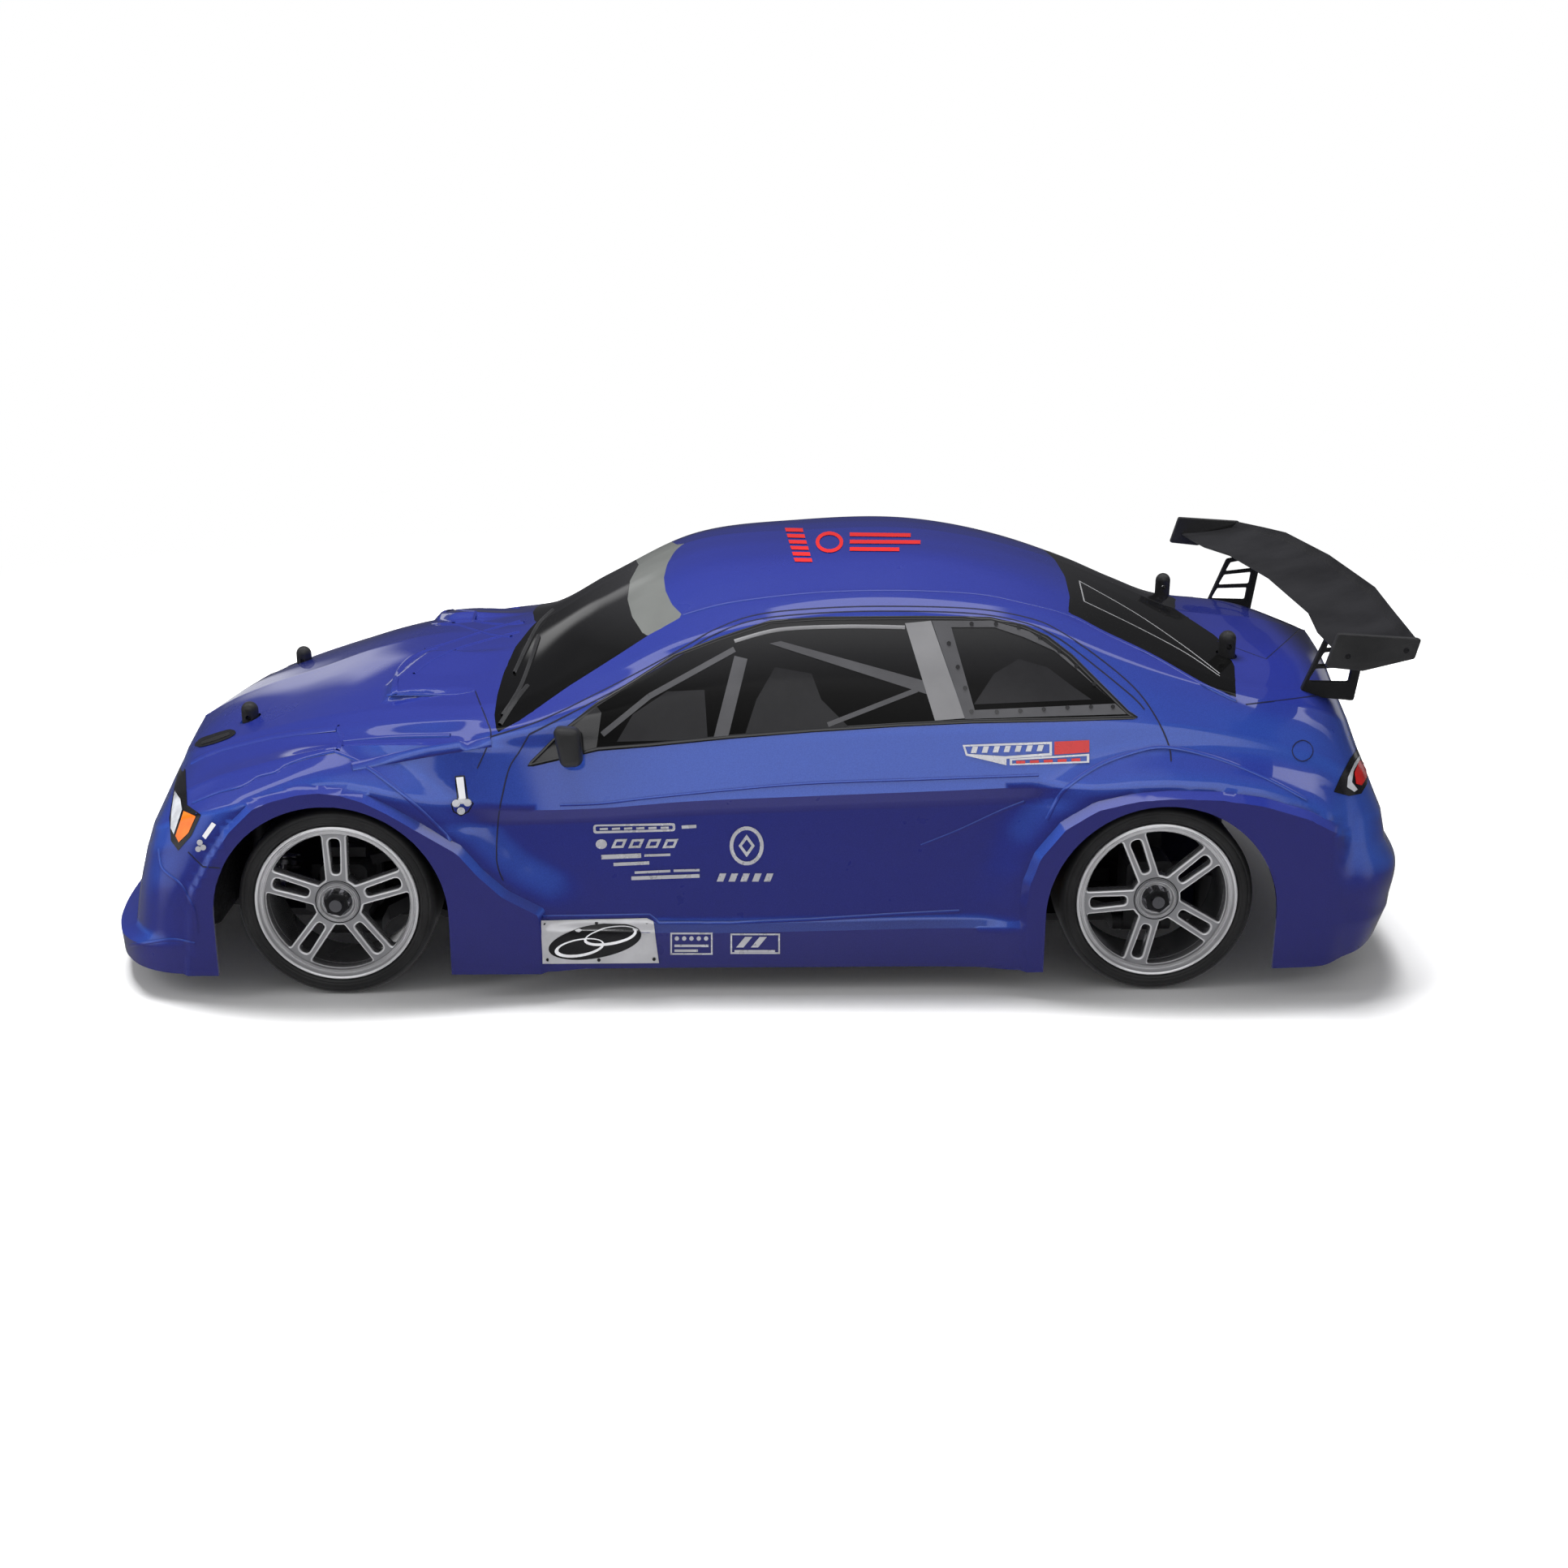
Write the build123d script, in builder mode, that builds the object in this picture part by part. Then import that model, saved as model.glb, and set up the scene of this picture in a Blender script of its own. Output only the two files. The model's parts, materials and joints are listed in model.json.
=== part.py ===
from build123d import *
import math
import os

# A radio-controlled four-wheel-drive touring car: body shell, wing, chassis tub, shaft
# drive line, steering and four independently sprung corners. Sizes are in mm.
# The origin is on the ground, midway between the axles; +X to the nose, +Y to the left.

os.makedirs("parts", exist_ok=True)

# ---------------------------------------------------------------- shared sizes
WHEELBASE = 260.0
AXLE_X = WHEELBASE / 2
TYRE_R = 31.0
AXLE_Z = TYRE_R
AXLES = ((AXLE_X, -1), (-AXLE_X, 1))   # axle x, direction towards the middle of the car
SIDES = (1, -1)                        # left, right

DIFF_Y = 24.0            # inner ball centre of the drive shaft, and inner arm pin
KING_Y = 74.0            # steering axis, outer ball centre and outer arm pin
PIN_Z = 15.0             # suspension pin height
PIN_R = 1.5
PIN_BORE_R = PIN_R + 0.05
PIN_L = 50.0             # inner pins

PLATE_Z0, PLATE_Z1 = 7.0, 9.5          # chassis plate, bottom and top

SHOCK_DX = 28.5                        # shock plane, ahead of its axle
SHOCK_TOP = (28.0, 66.0)               # upper eye (y, z)
SHOCK_BOT = (52.0, 20.0)               # lower eye (y, z)
SHOCK_DY = SHOCK_BOT[0] - SHOCK_TOP[0]
SHOCK_DZ = SHOCK_BOT[1] - SHOCK_TOP[1]
SHOCK_L = math.hypot(SHOCK_DY, SHOCK_DZ)

SHAFT_R = 3.0            # centre shaft
DIFF_NECK_R = 4.0
CUP_R = 5.5              # drive cups on the diffs and stub axles
CUP_BORE_R = 4.2
CUP_SLOT = (2.6, 12.0)   # cross slot for the dogbone pin

# body posts: x, distance from the centreline, top z
POSTS = ((167.4, 40.4, 82.0), (-158.8, 49.3, 108.1))
POST_R = 2.8
POST_HOLE_R = 3.3


# --------------------------------------------------------------------- helpers
def across(x, y=0, z=0, facing=1):
    """Plane square to X: local x is +Y, local y is +Z (-Z when facing is -1)."""
    return Plane(origin=(x, y, z), x_dir=(0, 1, 0), z_dir=(facing, 0, 0))


def along(x, y, z, facing):
    """Plane square to Y: local x is +X, local y is -Z when facing is 1, +Z when it is -1."""
    return Plane(origin=(x, y, z), x_dir=(1, 0, 0), z_dir=(0, facing, 0))


def outboard(axle_x, side, y):
    """Plane centred on the axle line at distance y, facing away from the centreline."""
    return Plane(origin=(axle_x, side * y, AXLE_Z), x_dir=(side, 0, 0), z_dir=(0, side, 0))


def axle_line(axle_x):
    return Axis((axle_x, 0, AXLE_Z), (0, 1, 0))


def turned(profile, side=1):
    """(distance from the centreline, radius) pairs as (y, z) points above the axle."""
    return [(side * y, AXLE_Z + radius) for y, radius in profile]


def plan(axle_x, side, points):
    """(x from the axle, distance from the centreline) pairs as (x, y) points."""
    return [(axle_x + x, side * y) for x, y in points]


def flip_z(points):
    return [(x, -z) for x, z in points]


def save(builder, name):
    builder.part.label = name
    export_step(builder.part, f"parts/{name}.step")


def save_solids(solids, name):
    group = Compound(children=solids)
    group.label = name
    export_step(group, f"parts/{name}.step")


# ------------------------------------------------------------------ body shell
SHELL_T = 1.2
SHELL_END_T = 1.6        # nose and tail walls
ARCH_R = 36.6
ARCH_Z = 27.5
ARCH_XS = (AXLE_X + 0.8, -AXLE_X - 0.3)

# station x, then the left half profile (y, z) from the bottom edge up to the spine
STATIONS = [
    (218.0, [(45, 9), (45.5, 11), (45, 13), (44, 15), (40, 17), (34, 18),
             (24, 19), (12, 19.6), (0, 20)]),
    (206.0, [(79, 9), (80, 14), (79, 22), (76, 28), (69, 33), (58, 38),
             (44, 42), (22, 45), (0, 46)]),
    (194.0, [(92, 9), (93.5, 18), (93, 32), (90, 44), (80, 54), (66, 60),
             (48, 63), (24, 67), (0, 68)]),
    (178.0, [(98, 9), (99.5, 20), (99.5, 36), (96, 50), (88, 62), (72, 67),
             (50, 70), (25, 77), (0, 79)]),
    (160.0, [(100.5, 9), (101, 24), (101, 44), (99.5, 60), (92, 70), (74, 72),
             (50, 75.5), (26, 83), (0, 85.5)]),
    (130.0, [(101, 9), (101, 30), (101, 50), (100.6, 66), (94, 80), (78, 81),
             (54, 85), (28, 92), (0, 95)]),
    (100.0, [(100.5, 9), (100.5, 30), (100.5, 50), (99, 66), (93, 79), (80, 83),
             (55, 91), (28, 98.5), (0, 101)]),
    (72.0, [(97, 9), (97.5, 24), (97, 42), (95, 60), (90, 76), (84, 84),
            (62, 95), (30, 104), (0, 106.5)]),
    (40.0, [(97, 9), (97, 24), (96, 42), (94, 60), (88.5, 77), (82, 88),
            (66, 106), (32, 117.5), (0, 121)]),
    (0.0, [(97, 9), (97, 24), (95.5, 42), (94, 60), (87.5, 80), (79, 98),
           (66, 118), (34, 129), (0, 132)]),
    (-45.0, [(97, 9), (97, 24), (95.5, 42), (94, 60), (87.5, 84), (79, 101),
             (65, 121), (34, 131), (0, 133.5)]),
    (-90.0, [(100.5, 9), (100.5, 28), (100.5, 46), (98, 62), (89, 85), (79, 101),
             (63, 116), (33, 126), (0, 128.5)]),
    (-130.0, [(102, 9), (102, 30), (102, 48), (101, 64), (92, 82), (81, 94),
              (61, 105), (32, 114.5), (0, 117.5)]),
    (-155.0, [(102, 9), (102, 28), (101.5, 46), (99, 62), (91.5, 79), (80, 90),
              (60, 97.5), (31, 105), (0, 107.5)]),
    (-182.0, [(100, 10), (100.5, 26), (100, 42), (97, 58), (90, 74), (79, 87.5),
              (60, 93.2), (30, 99), (0, 101)]),
    (-198.0, [(95, 11), (96, 26), (96, 40), (92, 54), (85, 68), (75, 82),
              (58, 89.5), (29, 94), (0, 96)]),
    (-207.0, [(90, 12), (91.5, 26), (91, 40), (87, 50), (80, 57), (70, 64),
              (52, 70), (28, 74), (0, 76)]),
    (-213.5, [(84, 15), (86, 26), (86, 36), (82, 44), (74, 47), (62, 49),
              (46, 51), (24, 52.5), (0, 53.5)]),
    (-218.0, [(76, 20), (78, 27), (78, 34), (74, 40), (66, 42), (56, 43),
              (42, 43.5), (22, 44), (0, 44.5)]),
]
NOSE_X, TAIL_X = STATIONS[0][0], STATIONS[-1][0]


def inset_half(points, thickness):
    """Moves a half profile inwards and drops its foot below the open bottom edge."""
    inset = []
    last = len(points) - 1
    for i, (y, z) in enumerate(points):
        before = points[max(i - 1, 0)]
        after = points[min(i + 1, last)]
        dy, dz = after[0] - before[0], after[1] - before[1]
        if i == last:
            dy, dz = -1.0, 0.0       # the spine moves straight down
        length = math.hypot(dy, dz)
        inset.append((y - dz / length * thickness, z + dy / length * thickness))
    foot_y = inset[1][0] - (points[1][0] - points[0][0]) * 0.9
    inset[0] = (foot_y, points[0][1] - 4.0)
    return inset


def full_profile(half):
    return half + [(-y, z) for y, z in reversed(half[:-1])]


with BuildPart() as body_shell:
    for x, half in STATIONS:
        with BuildSketch(across(x)):
            with BuildLine():
                Polyline(*full_profile(half), close=True)
            make_face()
    loft(ruled=True)
    for x, half in STATIONS:
        inner_x = max(min(x, NOSE_X - SHELL_END_T), TAIL_X + SHELL_END_T)
        with BuildSketch(across(inner_x)):
            with BuildLine():
                Polyline(*full_profile(inset_half(half, SHELL_T)), close=True)
            make_face()
    loft(ruled=True, mode=Mode.SUBTRACT)
    # wheel arches, open at the bottom
    for arch_x in ARCH_XS:
        with BuildSketch(Plane.XZ.offset(-130)):
            with Locations((arch_x, ARCH_Z)):
                Circle(ARCH_R)
            with Locations((arch_x, ARCH_Z / 2 - 2)):
                Rectangle(2 * ARCH_R, ARCH_Z + 4)
        extrude(amount=260, mode=Mode.SUBTRACT)
    # holes for the body posts
    with BuildSketch(Plane.XY):
        for post_x, post_y, _ in POSTS:
            with Locations((post_x, post_y), (post_x, -post_y)):
                Circle(POST_HOLE_R)
    extrude(amount=150, mode=Mode.SUBTRACT)
save(body_shell, "body_shell")

# ------------------------------------------------------------ wing and mirrors
WING_Y = 105.0           # half span
END_PLATE_T = 2.0
END_PLATE_GAP = 0.05
STAND_Y = 65.0
STAND_T = 2.2
MIRROR_Z = 79.5
MIRROR_H = 9.0

# tip to centre: y, leading edge x and z, trailing edge x and z, thickness
WING_HALF = [
    (WING_Y, -178.0, 113.2, -201.0, 116.2, 2.2),
    (76, -180.0, 113.4, -203.5, 119.0, 2.6),
    (52, -184.0, 114.5, -206.0, 121.0, 3.0),
    (0, -184.6, 116.0, -206.6, 122.0, 3.2),
]
WING_SECTIONS = [(-row[0], *row[1:]) for row in WING_HALF] + WING_HALF[-2::-1]

# outlines as (x, z)
END_PLATE = [(-176.6, 120.2), (-201.9, 118.6), (-200.4, 112.4), (-185.0, 108.6), (-173.6, 109.8)]
END_PLATE_HOLES = [(-180.0, 113.2), (-197.5, 115.0)]
STAND = [(-178.5, 93.9), (-197.5, 93.2), (-200.5, 113.6), (-186.8, 110.6)]
STAND_WINDOWS = (
    [(-183.0, 97.2), (-195.2, 96.4), (-196.4, 103.2), (-185.6, 102.6)],
    [(-186.6, 104.8), (-196.8, 105.4), (-197.6, 109.6), (-188.0, 107.6)],
)
# outline as (x, distance from the centreline)
MIRROR = [(60.5, 90.8), (52.0, 91.2), (51.5, 99.5), (56.5, 98.8)]


def wing_section(lead_x, lead_z, trail_x, trail_z, thickness):
    """Airfoil outline (x, z): over the top to the trailing edge, back underneath."""
    fore = (0.7 * lead_x + 0.3 * trail_x, 0.7 * lead_z + 0.3 * trail_z)
    aft = (0.35 * lead_x + 0.65 * trail_x, 0.35 * lead_z + 0.65 * trail_z)
    return [
        (lead_x, lead_z), (fore[0], fore[1] - 0.6), (aft[0], aft[1] - 0.4),
        (trail_x, trail_z), (trail_x + 0.3, trail_z - 1.0),
        (aft[0], aft[1] - thickness), (fore[0], fore[1] - thickness),
        (lead_x + 0.2, lead_z - 1.2),
    ]


with BuildPart() as rear_wing:
    for y, *section in WING_SECTIONS:
        with BuildSketch(along(0, y, 0, -1)):
            with BuildLine():
                Polyline(*wing_section(*section), close=True)
            make_face()
    loft(ruled=True)
save(rear_wing, "rear_wing")

with BuildPart() as wing_end_plates:
    for side in SIDES:
        middle_y = side * (WING_Y + END_PLATE_GAP + END_PLATE_T / 2)
        with BuildSketch(along(0, middle_y - END_PLATE_T / 2, 0, 1)):
            with BuildLine():
                Polyline(*flip_z(END_PLATE), close=True)
            make_face()
            with Locations(*flip_z(END_PLATE_HOLES)):
                Circle(0.7, mode=Mode.SUBTRACT)
        extrude(amount=END_PLATE_T)
save(wing_end_plates, "wing_end_plates")

with BuildPart() as wing_stands:
    for side in SIDES:
        with BuildSketch(along(0, side * STAND_Y - STAND_T / 2, 0, 1)):
            with BuildLine():
                Polyline(*flip_z(STAND), close=True)
            make_face()
            for window in STAND_WINDOWS:
                with BuildLine():
                    Polyline(*flip_z(window), close=True)
                make_face(mode=Mode.SUBTRACT)
        extrude(amount=STAND_T)
save(wing_stands, "wing_stands")

with BuildPart() as side_mirrors:
    for side in SIDES:
        with BuildSketch(Plane.XY.offset(MIRROR_Z)):
            with BuildLine():
                Polyline(*plan(0, side, MIRROR), close=True)
            make_face()
        extrude(amount=MIRROR_H, taper=3)
save(side_mirrors, "side_mirrors")

# ----------------------------------------------------- gear mesh and motor place
SPUR_TEETH, PINION_TEETH = 44, 16
GEAR_MODULE = 0.8
BACKLASH = 0.24
GEAR_X = -92.0
GEAR_CENTRES = GEAR_MODULE * (SPUR_TEETH + PINION_TEETH) / 2
MOTOR_Z = 28.0
MOTOR_Y = -math.sqrt(GEAR_CENTRES ** 2 - (AXLE_Z - MOTOR_Z) ** 2)

# --------------------------------------------------------------------- chassis
RAIL_X, RAIL_L = -12, 130
RAIL_H = 9.0
BULKHEAD_X, BULKHEAD_T = -88.4, 2.8
FOAM_Z, FOAM_H = 10.2, 21.0
POST_FOOT_H = 14.0

# left half outline (x, y), nose to tail
PLATE_HALF = [
    (200, 28), (176, 36), (174, 45), (108, 45), (88, 58),
    (-84, 58), (-100, 53), (-166, 53), (-172, 44),
]
# motor bulkhead (y, z)
BULKHEAD = [
    (-44, PLATE_Z1), (-3.6, PLATE_Z1), (-3.6, 22), (-9, 45), (-38, 45), (-44, 38),
]
# foam outline (x, y)
FOAM = [(178, 62), (192, 60), (202, 46), (204, 0), (202, -46), (192, -60), (178, -62)]

with BuildPart() as chassis_plate:
    with BuildSketch(Plane.XY.offset(PLATE_Z0)):
        with BuildLine():
            Polyline(*PLATE_HALF, *[(x, -y) for x, y in reversed(PLATE_HALF)], close=True)
        make_face()
    extrude(amount=PLATE_Z1 - PLATE_Z0)
    # battery rails and end walls
    with BuildSketch(Plane.XY.offset(PLATE_Z1)):
        with Locations((RAIL_X, 56.3)):
            Rectangle(RAIL_L, 2.4)
        with Locations((RAIL_X, 6.0)):
            Rectangle(RAIL_L, 1.6)
        with Locations((-84.4, 31), (57.2, 31)):
            Rectangle(2.0, 30)
    extrude(amount=RAIL_H)
    with BuildSketch(across(BULKHEAD_X)):
        with BuildLine():
            Polyline(*BULKHEAD, close=True)
        make_face()
        with Locations((MOTOR_Y, MOTOR_Z)):
            Circle(6.7, mode=Mode.SUBTRACT)
    extrude(amount=BULKHEAD_T)
save(chassis_plate, "chassis_plate")

with BuildPart() as bumper_foam:
    with BuildSketch(Plane.XY.offset(FOAM_Z)):
        with BuildLine():
            Polyline(*FOAM, close=True)
        make_face()
        fillet(vertices(), 3.0)
    extrude(amount=FOAM_H)
    # top rim
    fillet(edges().filter_by(Axis.Z, reverse=True).group_by(Axis.Z)[-1], 2.0)
save(bumper_foam, "bumper_foam")

with BuildPart() as body_posts:
    for post_x, post_y, top_z in POSTS:
        for side in SIDES:
            with BuildSketch(Plane.XY.offset(PLATE_Z1)):
                with Locations((post_x, side * post_y)):
                    Circle(POST_R + 2.0)
            extrude(amount=POST_FOOT_H)
            with BuildSketch(Plane.XY.offset(PLATE_Z1)):
                with Locations((post_x, side * post_y)):
                    Circle(POST_R)
            extrude(amount=top_z - POST_R - PLATE_Z1)
            with Locations((post_x, side * post_y, top_z - POST_R)):
                Sphere(POST_R)
    # cross holes near the tops
    for post_x, post_y, top_z in POSTS:
        for side in SIDES:
            with Locations(Location((post_x, side * post_y, top_z - 5.0), (90, 0, 0))):
                Cylinder(0.9, 12, mode=Mode.SUBTRACT)
save(body_posts, "body_posts")

# ------------------------------------------------------------------- gearboxes
CASE_L, CASE_W = 38, 35
CASE_TOP_Z = 48.5
CAVITY_R, CAVITY_W = 16.2, 25.0
BORE_CLEARANCE = 0.06
TAB_X = 22.3             # pin tabs, fore and aft of the axle
TAB_H = 9.5
PARTING_GAP = 0.1


def gearbox(name, axle_x, inward):
    with BuildPart() as case:
        # base flange
        with BuildSketch(Plane.XY.offset(PLATE_Z1)):
            with Locations((axle_x, 0)):
                Rectangle(48, 54)
        extrude(amount=1.7)
        with BuildSketch(Plane.XY.offset(PLATE_Z1)):
            with Locations((axle_x, 0)):
                Rectangle(CASE_L, CASE_W)
        extrude(amount=CASE_TOP_Z - PLATE_Z1)
        fillet(edges().filter_by(Axis.Y).group_by(Axis.Z)[-1], 9.0)
        # nose round the input shaft
        with BuildSketch(across(axle_x + inward * CASE_L / 2, facing=inward)):
            with Locations((0, inward * AXLE_Z)):
                RectangleRounded(16, 15, 4)
        extrude(amount=13.5)
        # pin tabs
        for tab_x in (-TAB_X, TAB_X):
            for side in SIDES:
                with BuildSketch(Plane.XY.offset(PLATE_Z1)):
                    with Locations((axle_x + tab_x, side * 22.0)):
                        Rectangle(3.4, 10)
                extrude(amount=TAB_H)
        # ribs that tie the tabs to the case
        for side in SIDES:
            for tab_x in (-TAB_X, TAB_X):
                with BuildSketch(Plane.XY.offset(PLATE_Z1)):
                    with Locations((axle_x + tab_x * 0.93, side * 17.0)):
                        Rectangle(7, 1.8)
                extrude(amount=TAB_H)
        # cavity, outdrive bores, input bore, pin bores
        with BuildSketch(Plane.XZ.offset(-CAVITY_W / 2)):
            with Locations((axle_x, AXLE_Z)):
                Circle(CAVITY_R)
        extrude(amount=CAVITY_W, mode=Mode.SUBTRACT)
        with BuildSketch(Plane.XZ.offset(-20)):
            with Locations((axle_x, AXLE_Z)):
                Circle(DIFF_NECK_R + BORE_CLEARANCE)
        extrude(amount=40.0, mode=Mode.SUBTRACT)
        with BuildSketch(across(axle_x, facing=inward)):
            with Locations((0, inward * AXLE_Z)):
                Circle(SHAFT_R + BORE_CLEARANCE)
        extrude(amount=40.0, mode=Mode.SUBTRACT)
        with BuildSketch(across(axle_x - 30)):
            with Locations((DIFF_Y, PIN_Z), (-DIFF_Y, PIN_Z)):
                Circle(PIN_R)
        extrude(amount=60.0, mode=Mode.SUBTRACT)
        # parting line between the case and its cover
        with BuildSketch(Plane.XY.offset(AXLE_Z - PARTING_GAP / 2)):
            with Locations((axle_x, 0)):
                Rectangle(90, 60)
        extrude(amount=PARTING_GAP, mode=Mode.SUBTRACT)
    with BuildPart() as pins:
        with BuildSketch(across(axle_x - PIN_L / 2)):
            with Locations((DIFF_Y, PIN_Z), (-DIFF_Y, PIN_Z)):
                Circle(PIN_R)
        extrude(amount=PIN_L)
    save_solids(list(case.part.solids()) + list(pins.part.solids()), name)


# ---------------------------------------------------------------- shock towers
TOWER_DX, TOWER_T = 19.2, 3.0          # rear face ahead of the axle, thickness
TOP_STUD_R, TOP_STUD_L = 1.5, 9.6
# left half outline (y, z)
TOWER_HALF = [(15, 40), (20, 47), (34, 62), (34, 70), (22, 70), (14, 60)]

with BuildPart() as shock_towers:
    for axle_x, _ in AXLES:
        with BuildSketch(across(axle_x + TOWER_DX)):
            with BuildLine():
                Polyline(*TOWER_HALF, *[(-y, z) for y, z in reversed(TOWER_HALF)], close=True)
            make_face()
            with Locations((0, 53)):
                SlotOverall(18, 6, mode=Mode.SUBTRACT)
        extrude(amount=TOWER_T)
        # studs for the upper shock eyes
        with BuildSketch(across(axle_x + TOWER_DX + TOWER_T)):
            with Locations(SHOCK_TOP, (-SHOCK_TOP[0], SHOCK_TOP[1])):
                Circle(TOP_STUD_R)
        extrude(amount=TOP_STUD_L)
save(shock_towers, "shock_towers")

# --------------------------------------------------------------- differentials
# (y, radius), right to left: cup, neck, housing, crown gear, neck, cup
DIFF_PROFILE = [
    (-28.4, 0), (-28.4, CUP_R), (-18.4, CUP_R), (-17.9, DIFF_NECK_R), (-12.3, DIFF_NECK_R),
    (-12.0, 9.0), (3.2, 9.0), (5.4, 15.0), (9.0, 15.6), (9.8, 9.0),
    (12.3, DIFF_NECK_R), (17.9, DIFF_NECK_R), (18.4, CUP_R), (28.4, CUP_R), (28.4, 0),
]


def differential(name, axle_x):
    with BuildPart() as diff:
        with BuildSketch(across(axle_x)):
            with BuildLine():
                Polyline(*turned(DIFF_PROFILE), close=True)
            make_face()
        revolve(axis=axle_line(axle_x))
        # hollow the cups
        for side in SIDES:
            with BuildSketch(along(axle_x, side * 19.2, AXLE_Z, side)):
                Circle(CUP_BORE_R)
                Rectangle(*CUP_SLOT)
            extrude(amount=12, mode=Mode.SUBTRACT)
    save(diff, name)


for end, (axle_x, inward) in zip(("front", "rear"), AXLES):
    gearbox(end + "_gearbox", axle_x, inward)
    differential(end + "_diff", axle_x)

# -------------------------------------------------------- centre shaft and gears
SHAFT_END = 14.8         # shaft end, inboard of each axle
PINION_BORE_R = 1.65
MESH_ANGLE = math.atan2(MOTOR_Z - AXLE_Z, MOTOR_Y)     # from the spur towards the pinion


def gear_outline(teeth, rotation):
    """Straight-flanked tooth outline, turned by rotation (radians)."""
    pitch_r = GEAR_MODULE * teeth / 2
    tip_r = pitch_r + 0.80 * GEAR_MODULE
    root_r = pitch_r - 1.15 * GEAR_MODULE
    half_angle = (math.pi * GEAR_MODULE / 2 - BACKLASH) / 2 / pitch_r
    tip_half = half_angle * 0.45 * pitch_r / tip_r
    root_half = half_angle * 1.55 * pitch_r / root_r
    points = []
    for i in range(teeth):
        centre = rotation + 2 * math.pi * i / teeth
        for radius, offset in (
            (root_r, -root_half), (tip_r, -tip_half), (tip_r, tip_half), (root_r, root_half),
        ):
            angle = centre + offset
            points.append((radius * math.cos(angle), radius * math.sin(angle)))
    return points


with BuildPart() as centre_shaft:
    with BuildSketch(across(-AXLE_X + SHAFT_END, z=AXLE_Z)):
        Circle(SHAFT_R)
    extrude(amount=WHEELBASE - 2 * SHAFT_END)
    # bevel pinions at both ends, narrowing towards their axles
    for axle_x, inward in AXLES:
        with BuildSketch(across(axle_x + inward * 15.2, z=AXLE_Z, facing=-inward)):
            Circle(4.6)
        extrude(amount=5.0, taper=14)
    # spur gear with five round windows, and its carrier
    with BuildSketch(across(GEAR_X - 2.2, z=AXLE_Z)):
        with BuildLine():
            Polyline(*gear_outline(SPUR_TEETH, MESH_ANGLE), close=True)
        make_face()
        with PolarLocations(10.6, 5):
            Circle(3.4, mode=Mode.SUBTRACT)
    extrude(amount=4.4)
    with BuildSketch(across(GEAR_X - 4.2, z=AXLE_Z)):
        Circle(6.0)
    extrude(amount=7.0)
save(centre_shaft, "centre_shaft")

with BuildPart() as motor_pinion:
    with BuildSketch(across(GEAR_X - 2.6, MOTOR_Y, MOTOR_Z)):
        with BuildLine():
            # half a tooth pitch round, so a gap faces the spur's tooth
            facing_gap = MESH_ANGLE + math.pi + math.pi / PINION_TEETH
            Polyline(*gear_outline(PINION_TEETH, facing_gap), close=True)
        make_face()
        Circle(PINION_BORE_R, mode=Mode.SUBTRACT)
    extrude(amount=5.2)
    # collar behind the teeth
    with BuildSketch(across(GEAR_X - 8.0, MOTOR_Y, MOTOR_Z)):
        Circle(4.0)
        Circle(PINION_BORE_R, mode=Mode.SUBTRACT)
    extrude(amount=5.4)
save(motor_pinion, "motor_pinion")

# ---------------------------------------------------------- motor and electrics
MOTOR_R, MOTOR_L = 18.0, 50.0
MOTOR_X = -85.5          # rear face of the can
CELL_R, CELL_L = 11.7, 45.0
CELL_PITCH_X, CELL_PITCH_Y = 45.6, 23.6
CELL_X, CELL_Y, CELL_Z = -82, 19.2, 21.4               # rear end of the first cell
ESC_X, ESC_Y, ESC_H = 4, -32, 15
FIN_COUNT, FIN_PITCH = 9, 4.4

with BuildPart() as motor:
    with BuildSketch(across(MOTOR_X, MOTOR_Y, MOTOR_Z)):
        Circle(MOTOR_R)
    extrude(amount=MOTOR_L)
    fillet(edges().filter_by(GeomType.CIRCLE), 2.0)
    # rear boss, which sits in the bulkhead
    with BuildSketch(across(-88.6, MOTOR_Y, MOTOR_Z)):
        Circle(6.4)
    extrude(amount=4.0)
    # output shaft
    with BuildSketch(across(-99.8, MOTOR_Y, MOTOR_Z)):
        Circle(1.59)
    extrude(amount=14.0)
    # front boss and two blocks above it
    with BuildSketch(across(-36.0, MOTOR_Y, MOTOR_Z)):
        Circle(6.5)
        with Locations((-9, 9), (9, 9)):
            Rectangle(3.2, 5.6)
    extrude(amount=4.5)
save(motor, "motor")

with BuildPart() as battery_pack:
    for row in range(2):
        for column in range(3):
            with BuildSketch(across(CELL_X + column * CELL_PITCH_X)):
                with Locations((CELL_Y + row * CELL_PITCH_Y, CELL_Z)):
                    Circle(CELL_R)
            extrude(amount=CELL_L)
    # block that joins the cells
    with BuildSketch(across(-81.6)):
        with Locations((CELL_Y + CELL_PITCH_Y / 2, CELL_Z)):
            Rectangle(24, 20)
    extrude(amount=135.4)
save(battery_pack, "battery_pack")

with BuildPart() as speed_controller:
    with BuildSketch(Plane.XY.offset(PLATE_Z1 + 0.1)):
        with Locations((ESC_X, ESC_Y)):
            RectangleRounded(46, 36, 3)
    extrude(amount=ESC_H)
    # cooling fins
    with BuildSketch(Plane.XY.offset(PLATE_Z1 + ESC_H)):
        for i in range(FIN_COUNT):
            with Locations((-14 + i * FIN_PITCH, ESC_Y)):
                Rectangle(1.8, 28)
    extrude(amount=7)
save(speed_controller, "speed_controller")

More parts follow.
